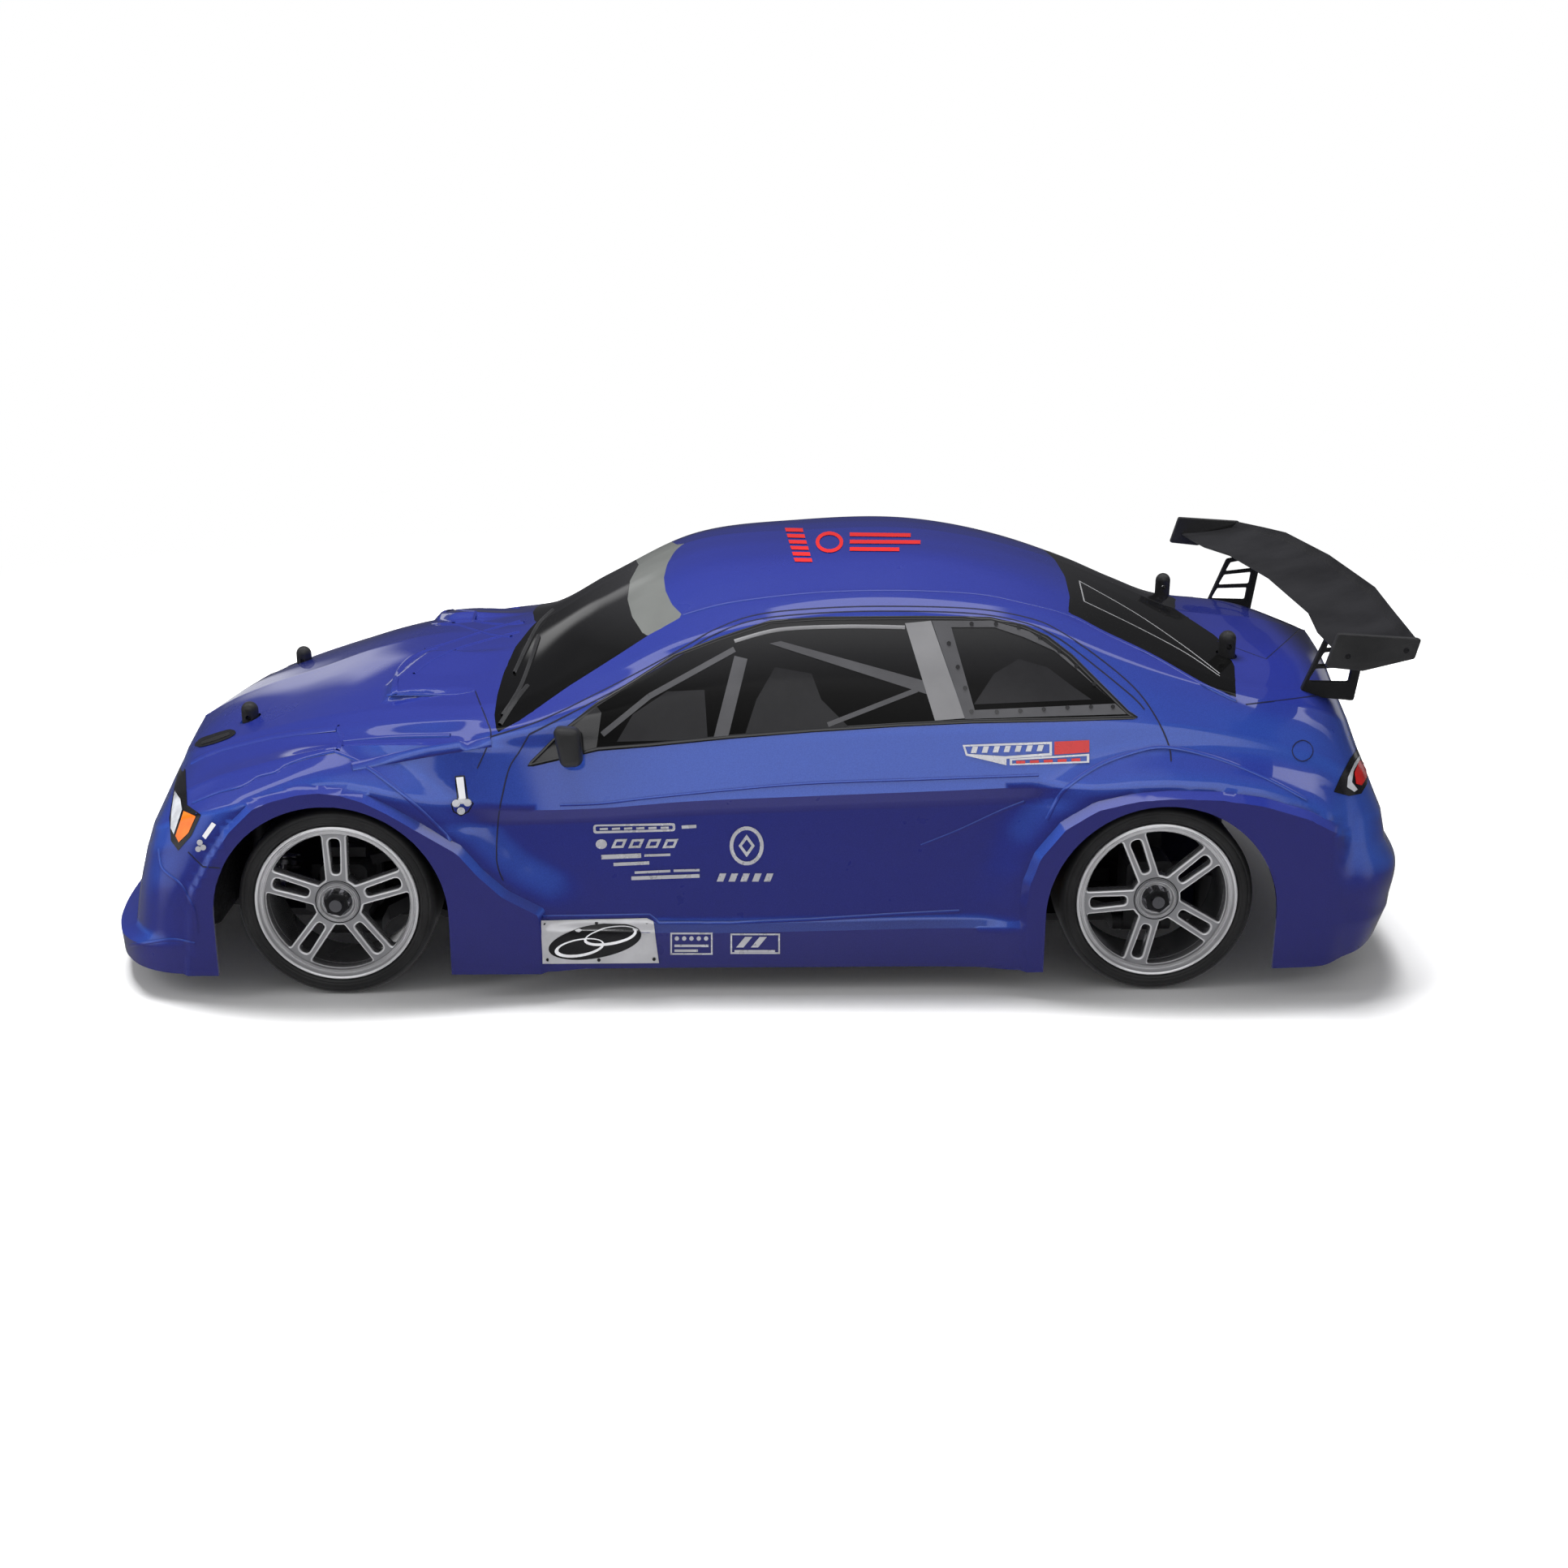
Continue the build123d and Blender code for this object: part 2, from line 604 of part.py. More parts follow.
# -------------------------------------------------------------------- steering
SAVER_X, SAVER_Y, SAVER_Z = 90.0, 22.0, 45.6
SAVER_T = 3.4
SAVER_ARM = 20.0         # servo axis to the studs, forwards
SAVER_HALF = 6.0         # studs, either side of the arm's middle
SERVO_X = SAVER_X - 10.5
SERVO_H = 35.4
KNUCKLE_ARM = (-18.0, -8.0)            # outer rod end, from the steering axis
ROD_END_Z = 43.0
ROD_R = 1.3
ROD_HEX_R = 2.2          # hexagon across corners, halved

with BuildPart() as steering_servo:
    with BuildSketch(Plane.XY.offset(PLATE_Z1 + 0.1)):
        with Locations((SERVO_X, SAVER_Y)):
            RectangleRounded(40, 20, 1.5)
    extrude(amount=SERVO_H)
    # mounting ears
    with BuildSketch(Plane.XY.offset(PLATE_Z1 + 26)):
        with Locations((SERVO_X, SAVER_Y)):
            Rectangle(51, 18)
        with Locations(*[(SERVO_X + dx, SAVER_Y + dy) for dx in (-23, 23) for dy in (-5, 5)]):
            Circle(1.8, mode=Mode.SUBTRACT)
    extrude(amount=2.4)
    # output shaft
    with BuildSketch(Plane.XY.offset(PLATE_Z1 + SERVO_H)):
        with Locations((SAVER_X, SAVER_Y)):
            Circle(2.9)
    extrude(amount=4.2)
save(steering_servo, "steering_servo")

with BuildPart() as servo_saver:
    with BuildSketch(Plane.XY.offset(SAVER_Z)):
        with Locations((SAVER_X, SAVER_Y)):
            Circle(7.5)
        with BuildLine():
            tip_x = SAVER_X + SAVER_ARM + 2.1
            tip_half = SAVER_HALF + 1.9
            Polyline((SAVER_X, SAVER_Y - 6), (tip_x, SAVER_Y - tip_half),
                     (tip_x, SAVER_Y + tip_half), (SAVER_X, SAVER_Y + 6), close=True)
        make_face()
        with Locations((SAVER_X, SAVER_Y)):
            Circle(2.95, mode=Mode.SUBTRACT)
    extrude(amount=SAVER_T)
    # studs for the tie rods
    for stud_y in (SAVER_HALF, -SAVER_HALF):
        with BuildSketch(Plane.XY.offset(SAVER_Z + SAVER_T)):
            with Locations((SAVER_X + SAVER_ARM, SAVER_Y + stud_y)):
                Circle(1.2)
        extrude(amount=14.0)
save(servo_saver, "servo_saver")


def tie_rod(name, side):
    inner = Vector(SAVER_X + SAVER_ARM - 0.85, SAVER_Y + side * SAVER_HALF,
                   SAVER_Z + SAVER_T + 5.2)
    outer = Vector(AXLE_X + KNUCKLE_ARM[0], side * (KING_Y + KNUCKLE_ARM[1]), ROD_END_Z)
    span = outer - inner
    direction = span.normalized()
    start = inner + direction * 3.4
    with BuildPart() as rod:
        with BuildSketch(Plane(origin=start, z_dir=direction)):
            Circle(ROD_R)
        extrude(amount=span.length - 5.0)
        # hexagon sleeves at both ends: distance from the start, length
        for distance, length in ((1.2, 8), (span.length - 16.0, 9)):
            with BuildSketch(Plane(origin=start + direction * distance, z_dir=direction)):
                RegularPolygon(ROD_HEX_R, 6)
            extrude(amount=length)
        # outer rod end
        with BuildSketch(Plane.XY.offset(outer.Z - 2.0)):
            with Locations((outer.X, outer.Y)):
                Circle(3.3)
        extrude(amount=4.2)
        # inner eye, bored through
        with BuildSketch(Plane.XY.offset(inner.Z - 1.5)):
            with Locations((inner.X, inner.Y)):
                Circle(4.3)
        extrude(amount=3.0)
        with BuildSketch(Plane.XY.offset(inner.Z - 6)):
            with Locations((inner.X, inner.Y)):
                Circle(3.1)
        extrude(amount=12.0, mode=Mode.SUBTRACT)
    save(rod, name)


tie_rod("tie_rod_left", 1)
tie_rod("tie_rod_right", -1)

# -------------------------------------------------------------- suspension arms
ARM_T = 5.0
ARM_HALF_L = 20.0        # half length of the inner barrel
FORK_HALF = 9.6          # half width over the fork lugs
LUG_T = 3.2
HINGE_W = 12.4           # barrel that sits between the lugs
HINGE_R = 3.0
EAR_DX, EAR_T = 17.5, 5.0

# outlines as (x from the axle, distance from the centreline)
ARM_OUTLINE = [
    (-20, 24), (20, 24), (20.5, 54), (16, 58), (FORK_HALF, 64), (FORK_HALF, 70),
    (-FORK_HALF, 70), (-FORK_HALF, 64), (-17, 50),
]
ARM_WINDOWS = (
    [(-14.5, 30), (-1.8, 30), (-1.8, 54), (-12, 46)],
    [(1.8, 30), (15, 30), (14, 50), (1.8, 56)],
)
# shock ear (distance from the centreline, z)
EAR = [(47, 16), (49.5, 22.5), (54.5, 22.5), (56, 16)]


def lower_arm(tag, axle_x, side):
    with BuildPart() as arm:
        with BuildSketch(Plane.XY.offset(PIN_Z - ARM_T / 2)):
            with BuildLine():
                Polyline(*plan(axle_x, side, ARM_OUTLINE), close=True)
            make_face()
            for window in ARM_WINDOWS:
                with BuildLine():
                    Polyline(*plan(axle_x, side, window), close=True)
                make_face(mode=Mode.SUBTRACT)
        extrude(amount=ARM_T)
        # inner barrel
        with BuildSketch(across(axle_x - ARM_HALF_L)):
            with Locations((side * DIFF_Y, PIN_Z)):
                Circle(3.2)
        extrude(amount=2 * ARM_HALF_L)
        # fork lugs
        for lug_x in (-FORK_HALF, FORK_HALF - LUG_T):
            with BuildSketch(across(axle_x + lug_x)):
                with Locations((side * (KING_Y - 2.0), PIN_Z)):
                    SlotOverall(10.0, 5.0)
            extrude(amount=LUG_T)
        # shock ear and stud
        with BuildSketch(across(axle_x + EAR_DX)):
            with BuildLine():
                Polyline(*plan(0, 1, [(side * y, z) for y, z in EAR]), close=True)
            make_face()
        extrude(amount=EAR_T)
        with BuildSketch(across(axle_x + EAR_DX + EAR_T)):
            with Locations((side * SHOCK_BOT[0], SHOCK_BOT[1])):
                Circle(1.4)
        extrude(amount=8.6)
        # bore for the inner pin
        with BuildSketch(across(axle_x - 30)):
            with Locations((side * DIFF_Y, PIN_Z)):
                Circle(PIN_BORE_R)
        extrude(amount=60, mode=Mode.SUBTRACT)
        # outer pin, fixed in the fork
        with BuildSketch(across(axle_x - FORK_HALF)):
            with Locations((side * KING_Y, PIN_Z)):
                Circle(PIN_R)
        extrude(amount=2 * FORK_HALF)
    save(arm, "lower_arm_" + tag)


# ---------------------------------------------------------------- wheel carriers
KING_PIN_R = 1.5
HUB_BORE_R = 3.05
# steering arm (x from the axle, distance from the centreline)
STEERING_ARM = [(-7.0, 71.4), (-7.0, 75.6), (-12, 71.9), (-21, 69.5), (-21.5, 63.0), (-16.0, 63.2)]


def caster_block(tag, axle_x, side):
    with BuildPart() as caster:
        # inner web with a window for the drive shaft
        with BuildSketch(along(axle_x, side * 62.5, 0, side)):
            with Locations((0, -side * 31.2)):
                RectangleRounded(17, 25.4, 2.0)
            with Locations((0, -side * AXLE_Z)):
                Circle(6.4, mode=Mode.SUBTRACT)
        extrude(amount=3.4)
        # notch that clears the steering arm at full lock
        with BuildSketch(along(axle_x, side * 62.0, 0, side)):
            with Locations((-7.8, -side * 38.0)):
                Rectangle(2.8, 4.8)
        extrude(amount=4.5, mode=Mode.SUBTRACT)
        # lower and upper plates, bored for the king pins
        for plate_z in (18.5, 40.7):
            with BuildSketch(Plane.XY.offset(plate_z)):
                with Locations((axle_x, side * 71.2)):
                    Rectangle(13.0, 17.0)
                with Locations((axle_x, side * KING_Y)):
                    Circle(KING_PIN_R + 0.06, mode=Mode.SUBTRACT)
            extrude(amount=3.2)
        # hinge barrel
        with BuildSketch(across(axle_x - HINGE_W / 2)):
            with Locations((side * KING_Y, PIN_Z)):
                Circle(HINGE_R)
            with Locations((side * KING_Y, PIN_Z + 2.2)):
                Rectangle(2 * HINGE_R, 3.6)
            with Locations((side * KING_Y, PIN_Z)):
                Circle(PIN_BORE_R, mode=Mode.SUBTRACT)
        extrude(amount=HINGE_W)
    save(caster, "caster_block_" + tag)


def wheel_carrier(tag, axle_x, side, front):
    """Steering knuckle at the front, hub carrier at the rear."""
    with BuildPart() as hub:
        with BuildSketch(outboard(axle_x, side, 70.0)):
            RectangleRounded(15, 17.4, 2.5)
        extrude(amount=14.4)
        # room for the cup, then the axle bore
        with BuildSketch(outboard(axle_x, side, 69.0)):
            Circle(6.1)
        extrude(amount=11.4, mode=Mode.SUBTRACT)
        with BuildSketch(outboard(axle_x, side, 79.0)):
            Circle(HUB_BORE_R)
        extrude(amount=8, mode=Mode.SUBTRACT)
        if front:
            # lower and upper king pins
            for king_pin_z in (19.2, AXLE_Z + 8.7):
                with BuildSketch(Plane.XY.offset(king_pin_z)):
                    with Locations((axle_x, side * KING_Y)):
                        Circle(KING_PIN_R)
                extrude(amount=3.2)
            with BuildSketch(Plane.XY.offset(36.4)):
                with BuildLine():
                    Polyline(*plan(axle_x, side, STEERING_ARM), close=True)
                make_face()
            extrude(amount=3.2)
        else:
            # hinge barrel
            with BuildSketch(across(axle_x - HINGE_W / 2)):
                with Locations((side * KING_Y, PIN_Z)):
                    Circle(HINGE_R)
                with Locations((side * KING_Y, PIN_Z + 4.8)):
                    Rectangle(2 * HINGE_R, 6.4)
                with Locations((side * KING_Y, PIN_Z)):
                    Circle(PIN_BORE_R, mode=Mode.SUBTRACT)
            extrude(amount=HINGE_W)
    save(hub, ("steering_knuckle_" if front else "hub_carrier_") + tag)


# ------------------------------------------------------- drive shafts and axles
HEX_AF = 12.0            # wheel hex, across flats
HEX_Y = 85.4
THREAD_R = 2.0
NUT_Y = 93.4
# (distance from the centreline, radius): cup, bearing journal, thread
AXLE_PROFILE = [
    (69.6, 0), (69.6, CUP_R), (79.8, CUP_R), (80.0, 3.0), (85.2, 3.0),
    (HEX_Y, THREAD_R), (98.8, THREAD_R), (98.8, 0),
]


def dogbone(tag, axle_x, side):
    with BuildPart() as bone:
        with BuildSketch(outboard(axle_x, side, DIFF_Y)):
            Circle(1.5)
        extrude(amount=KING_Y - DIFF_Y)
        # ball and cross pin at each end
        with Locations((axle_x, side * DIFF_Y, AXLE_Z), (axle_x, side * KING_Y, AXLE_Z)):
            Sphere(3.2)
            Cylinder(0.9, 9.4)
    save(bone, "dogbone_" + tag)


def stub_axle(tag, axle_x, side):
    with BuildPart() as axle:
        with BuildSketch(across(axle_x)):
            with BuildLine():
                Polyline(*turned(AXLE_PROFILE, side), close=True)
            make_face()
        revolve(axis=axle_line(axle_x))
        with BuildSketch(outboard(axle_x, side, 69.0)):
            Circle(CUP_BORE_R)
            Rectangle(*CUP_SLOT)
        extrude(amount=9.6, mode=Mode.SUBTRACT)
        with BuildSketch(outboard(axle_x, side, HEX_Y)):
            RegularPolygon(HEX_AF / 2, 6, major_radius=False)
        extrude(amount=3.8)
    # flanged wheel nut
    with BuildPart() as nut:
        with BuildSketch(outboard(axle_x, side, NUT_Y)):
            RegularPolygon(3.5, 6, major_radius=False)
            Circle(THREAD_R, mode=Mode.SUBTRACT)
        extrude(amount=3.8)
        with BuildSketch(outboard(axle_x, side, NUT_Y)):
            Circle(4.6)
            Circle(THREAD_R, mode=Mode.SUBTRACT)
        extrude(amount=0.9)
    save_solids([axle.part.solids()[0], nut.part.solids()[0]], "stub_axle_" + tag)


# ---------------------------------------------------------------------- wheels
WHEEL_IN, WHEEL_OUT = 71.9, 97.2       # tyre side planes, from the centreline
TYRE_SHOULDER = 2.6
RIM_R = 24.2             # bead seat
RIM_BORE_R = 23.2        # inside of the barrel
RIM_LIP_R = 25.8
TYRE_BORE_R = RIM_R + 0.05

# (distance from the centreline, radius)
RIM_PROFILE = [
    (72.1, RIM_BORE_R), (72.1, RIM_LIP_R), (73.3, RIM_LIP_R), (73.5, RIM_R), (95.4, RIM_R),
    (95.6, RIM_LIP_R), (96.9, RIM_LIP_R), (96.9, 24.6), (94.0, RIM_BORE_R),
]
TYRE_PROFILE = [
    (73.8, TYRE_BORE_R), (73.8, 25.95), (72.4, 26.5), (WHEEL_IN, 27.6),
    (WHEEL_IN + 0.3, 29.4), (WHEEL_IN + 1.4, 30.6), (WHEEL_IN + TYRE_SHOULDER, TYRE_R),
    (WHEEL_OUT - TYRE_SHOULDER, TYRE_R), (WHEEL_OUT - 1.4, 30.6), (WHEEL_OUT - 0.3, 29.4),
    (WHEEL_OUT, 27.6), (96.6, 26.4), (95.1, 25.95), (95.1, TYRE_BORE_R),
]


def wheel_rim(tag, axle_x, side):
    with BuildPart() as rim:
        with BuildSketch(across(axle_x)):
            with BuildLine():
                Polyline(*turned(RIM_PROFILE, side), close=True)
            make_face()
        revolve(axis=axle_line(axle_x))
        # face: five pairs of spokes left between triangles and slots
        with BuildSketch(outboard(axle_x, side, 89.4)):
            Circle(RIM_BORE_R + 0.4)
            with PolarLocations(16.0, 5, start_angle=90 + 36):
                RegularPolygon(5.6, 3, rotation=180, mode=Mode.SUBTRACT)
            with PolarLocations(15.2, 5, start_angle=90):
                SlotOverall(11, 2.2, mode=Mode.SUBTRACT)
            Circle(THREAD_R + 0.05, mode=Mode.SUBTRACT)
        extrude(amount=3.8)
    save(rim, "rim_" + tag)


def wheel_tyre(tag, axle_x, side):
    with BuildPart() as tyre:
        with BuildSketch(across(axle_x)):
            with BuildLine():
                Polyline(*turned(TYRE_PROFILE, side), close=True)
            make_face()
        revolve(axis=axle_line(axle_x))
    save(tyre, "tyre_" + tag)


# --------------------------------------------------------------- shock absorbers
# distances run down the shock from its upper eye
CAP_START, CAP_L = 3.0, 4.5
CAP_END = CAP_START + CAP_L
ROD_START = 16.0
SEAT_START = SHOCK_L - 8.5             # lower spring seat
SPRING_GAP = 0.7         # coil centre to its seat, at both ends
SPRING_START = CAP_END + SPRING_GAP
SPRING_H = SEAT_START - CAP_END - 2 * SPRING_GAP
SPRING_TURNS = 6.5


def shock_plane(axle_x, side, distance):
    """Plane square to the shock, at a distance down from its upper eye."""
    down_y, down_z = SHOCK_DY / SHOCK_L * side, SHOCK_DZ / SHOCK_L
    origin = (axle_x + SHOCK_DX, side * SHOCK_TOP[0] + down_y * distance,
              SHOCK_TOP[1] + down_z * distance)
    return Plane(origin=origin, x_dir=(1, 0, 0), z_dir=(0, down_y, down_z))


def shock_cylinder(tag, axle_x, side):
    shock_x = axle_x + SHOCK_DX
    eye = (side * SHOCK_TOP[0], SHOCK_TOP[1])
    with BuildPart() as cylinder:
        with BuildSketch(shock_plane(axle_x, side, CAP_START)):
            Circle(5.6)
        extrude(amount=CAP_L)
        with BuildSketch(shock_plane(axle_x, side, CAP_START)):
            Circle(4.3)
        extrude(amount=25.0)
        with BuildSketch(across(shock_x - 2.4)):
            with Locations(eye):
                Circle(3.6)
        extrude(amount=4.8)
        # rod bore, then the eye's hole
        with BuildSketch(shock_plane(axle_x, side, 9.0)):
            Circle(1.55)
        extrude(amount=30.0, mode=Mode.SUBTRACT)
        with BuildSketch(across(shock_x - 6)):
            with Locations(eye):
                Circle(1.6)
        extrude(amount=12, mode=Mode.SUBTRACT)
    save(cylinder, "shock_cylinder_" + tag)


def shock_rod(tag, axle_x, side):
    shock_x = axle_x + SHOCK_DX
    eye = (side * SHOCK_BOT[0], SHOCK_BOT[1])
    with BuildPart() as rod:
        with BuildSketch(shock_plane(axle_x, side, ROD_START)):
            Circle(1.5)
        extrude(amount=SHOCK_L - ROD_START - 1.5)
        # spring seat
        with BuildSketch(shock_plane(axle_x, side, SEAT_START)):
            Circle(6.2)
        extrude(amount=1.6)
        with BuildSketch(across(shock_x - 2.0)):
            with Locations(eye):
                Circle(3.4)
        extrude(amount=4.0)
        with BuildSketch(across(shock_x - 6)):
            with Locations(eye):
                Circle(1.75)
        extrude(amount=12, mode=Mode.SUBTRACT)
    save(rod, "shock_rod_" + tag)


def shock_spring(tag, axle_x, side):
    start = shock_plane(axle_x, side, SPRING_START)
    with BuildPart() as spring:
        with BuildLine() as path:
            Helix(pitch=SPRING_H / SPRING_TURNS, height=SPRING_H, radius=5.2,
                  center=start.origin.to_tuple() if False else tuple(start.origin),
                  direction=(0, SHOCK_DY / SHOCK_L * side, SHOCK_DZ / SHOCK_L))
        with BuildSketch(Plane(origin=path.line @ 0, z_dir=path.line % 0)):
            Circle(0.6)
        sweep(path=path.line, is_frenet=True)
    save(spring, "shock_spring_" + tag)


# --------------------------------------------------------------------- corners
for end, (axle_x, _) in zip("fr", AXLES):
    for hand, side in zip("lr", SIDES):
        tag = end + hand
        lower_arm(tag, axle_x, side)
        if end == "f":
            caster_block(tag, axle_x, side)
        wheel_carrier(tag, axle_x, side, front=end == "f")
        for build in (dogbone, stub_axle, wheel_rim, wheel_tyre,
                      shock_cylinder, shock_rod, shock_spring):
            build(tag, axle_x, side)
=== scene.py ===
import bpy, bmesh, math, json, random
import numpy as np
from mathutils import Vector, Matrix
from mathutils.bvhtree import BVHTree
from mathutils.geometry import delaunay_2d_cdt


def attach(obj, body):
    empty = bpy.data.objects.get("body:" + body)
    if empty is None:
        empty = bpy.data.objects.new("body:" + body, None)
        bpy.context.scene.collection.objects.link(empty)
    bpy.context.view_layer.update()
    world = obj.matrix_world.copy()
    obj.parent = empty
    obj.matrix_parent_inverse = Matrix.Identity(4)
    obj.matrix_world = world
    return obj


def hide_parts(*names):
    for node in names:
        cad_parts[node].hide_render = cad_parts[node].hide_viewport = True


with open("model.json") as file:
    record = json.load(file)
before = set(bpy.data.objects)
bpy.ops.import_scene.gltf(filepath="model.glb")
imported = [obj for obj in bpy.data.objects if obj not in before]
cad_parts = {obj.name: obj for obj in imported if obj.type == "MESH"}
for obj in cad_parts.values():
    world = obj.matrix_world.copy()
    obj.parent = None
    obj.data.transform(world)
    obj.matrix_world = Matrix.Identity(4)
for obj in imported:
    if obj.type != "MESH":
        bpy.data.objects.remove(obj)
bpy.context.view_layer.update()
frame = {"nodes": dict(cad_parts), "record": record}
random.seed(4)
RNG = np.random.default_rng(4)

# ---------------------------------------------------------------- body surface
# rows: bottom edge to spine.  crease = True breaks the tangent across the row
KX = [185, 172, 152, 130, 108, 92, 78, 50, 20, -20, -60, -95, -115, -135, -155, -172, -188]
# side knots per row: (x, y, z)
ROWS = [
 # r0 bottom edge
 dict(c=True, k=[(185,96.5,8.6),(172,99,8.6),(150,100.5,8.6),(108,100.2,8.6),(92,98.6,8.6),(70,97.5,8.6),(20,96.6,8.6),(-60,96.6,8.6),(-92,98.5,8.8),(-110,101,9.5),(-160,101.5,9.6),(-188,98.5,10.6)], n=(213.8,8.6,2.6), t=(-217.0,17.5,2.6)),
 # r1 splitter edge / sill crease
 dict(c=True, k=[(185,98,17),(172,100,20),(150,101,21),(108,100.8,22),(92,99.5,22.5),(66,98.9,22.5),(20,98.4,21.2),(-60,98.2,22.4),(-92,99.8,23),(-110,101.8,24),(-160,102.2,24),(-188,100.0,24)], n=(214.0,14.5,2.6), t=(-219.0,24,2.8)),
 # r2 above the sill
 dict(c=True, k=[(185,97,20.5),(172,99.6,23),(150,100.8,24),(108,100.4,25),(92,98.2,25.5),(66,96.2,25.2),(20,95.9,24),(-60,95.9,25),(-92,98.4,26),(-110,101.4,27),(-160,102.0,27),(-188,100,27)], n=(207,18.5,2.6), t=(-219.3,27,2.8)),
 # r3 side low
 dict(c=False, k=[(185,95.2,36),(172,98.8,38),(150,100.6,41),(108,100.0,41),(92,97.4,41),(66,95.2,41),(20,94.7,41),(-60,94.9,41),(-92,97,41),(-110,99.8,42),(-160,100.6,42),(-188,99.4,40)], n=(204.5,29,2.5), t=(-219.6,36.5,3.0)),
 # r4 side high
 dict(c=True, k=[(185,92.5,48),(172,96.5,53),(150,98.2,57),(130,98.2,58.5),(108,96.8,57.5),(92,94.8,57),(66,93.4,57.2),(20,93.0,60),(-60,93.8,63.4),(-92,94.8,64.8),(-110,96.2,65),(-135,97.0,65),(-160,96.8,60.4),(-188,95.4,50)], n=(203.2,37,2.2), t=(-214.6,43.5,3.2)),
 # r5 shoulder crease
 dict(c=True, k=[(185,89.6,54.5),(172,94.2,60.5),(150,96.6,65.5),(130,97.0,68.5),(108,96.2,66.5),(92,95.4,63.5),(66,95.2,61.2),(20,95.0,64.0),(-60,95.4,67.4),(-92,95.6,68.8),(-110,95.6,69.4),(-135,95.4,69.4),(-160,94.2,65.6),(-188,90.6,58)], n=(201.6,43.5,2.0), t=(-212.6,52.0,3.4)),
 # r6 belt line / fender crest
 dict(c=True, k=[(185,86.0,60.5),(172,90.0,68.5),(150,92.4,76.5),(130,92.6,81.2),(108,91.4,81.5),(92,90.6,81.0),(78,89.8,80.0),(50,88.6,78.6),(20,88.0,80.2),(-20,87.6,83.2),(-60,87.6,85.4),(-95,87.6,86.9),(-122,87.8,87.4),(-155,86.8,82.5),(-188,83.6,73.5)], n=(199.6,49.5,1.8), t=(-208.6,60.5,3.4)),
 # r7 mid glass / hood valley
 dict(c=False, k=[(185,77,64.2),(172,81,70.0),(150,84,77.5),(130,85,80.3),(108,86,81.2),(92,87,82.6),(78,87.6,84.6),(50,83.4,91),(20,79.8,98.6),(-20,78,102.4),(-60,78,102.8),(-95,79.4,100.8),(-122,81.2,96.4),(-155,81.2,90.2),(-188,77,82)], n=(198.4,54,1.75), t=(-205.2,69.5,3.2)),
 # r8 window top / hood shoulder
 dict(c=True, k=[(185,65,66.5),(172,70,72.0),(150,75.5,79.4),(130,78,83.2),(108,80.2,86.0),(92,82,87.2),(78,82.4,87.8),(50,73.4,98.0),(20,69.4,109.8),(-20,67.8,116.6),(-60,67.8,117.2),(-90,70.6,114.0),(-122,75.0,103.4),(-155,77.2,94.2),(-188,72,86.6)], n=(197.2,57.6,1.75), t=(-202.6,78,3.0)),
 # r9 roof edge
 dict(c=True, k=[(185,57,68.2),(172,62,74.0),(150,67,82.0),(130,69.5,86.4),(108,72.6,90.2),(92,75.4,91.4),(78,76.8,91.8),(50,66.6,101.9),(20,62.6,113.6),(-20,61.6,121.6),(-60,61.6,122.2),(-90,63.6,119.4),(-122,68.4,108.0),(-155,71.0,96.8),(-188,66,90)], n=(196.2,60.6,1.8), t=(-200.8,84,2.8)),
 # r10 roof quarter
 dict(c=False, k=[(185,38,70.6),(172,42,76.6),(150,45.5,85.0),(130,47,90.4),(108,49,95.4),(92,51,97.2),(78,52,98.9),(50,47,109.6),(20,44,122.2),(-20,42,129.6),(-60,42,130.0),(-90,43.4,126.2),(-122,46,115.2),(-155,48,102.6),(-172,47.5,99.8),(-188,46,97.4)], n=(195.4,63.2,1.8), t=(-200.0,92.6,2.6)),
 dict(c=False, k=[(185,19,72.4),(172,21,79.0),(150,23,87.2),(130,24,93.0),(108,25,98.6),(92,26,100.8),(78,26.5,103.0),(50,24,114.4),(20,22.5,126.2),(-20,21,132.2),(-60,21,132.5),(-90,21.6,128.9),(-122,23,118.6),(-155,24,105.2),(-172,23.5,102.4),(-188,23,100.2)], n=(194.8,65.0,1.9), t=(-199.8,95.8,2.6)),
 # r12 spine
 dict(c=False, k=[(185,0,73.0),(172,0,79.8),(150,0,88.2),(130,0,94.2),(108,0,99.8),(92,0,101.8),(78,0,104.3),(50,0,115.8),(20,0,127.6),(-20,0,133.1),(-60,0,133.4),(-90,0,129.8),(-122,0,119.6),(-155,0,106.2),(-172,0,103.4),(-188,0,101.2)], n=(194.4,66.2,2.0), t=(-199.8,97.0,2.6)),
]
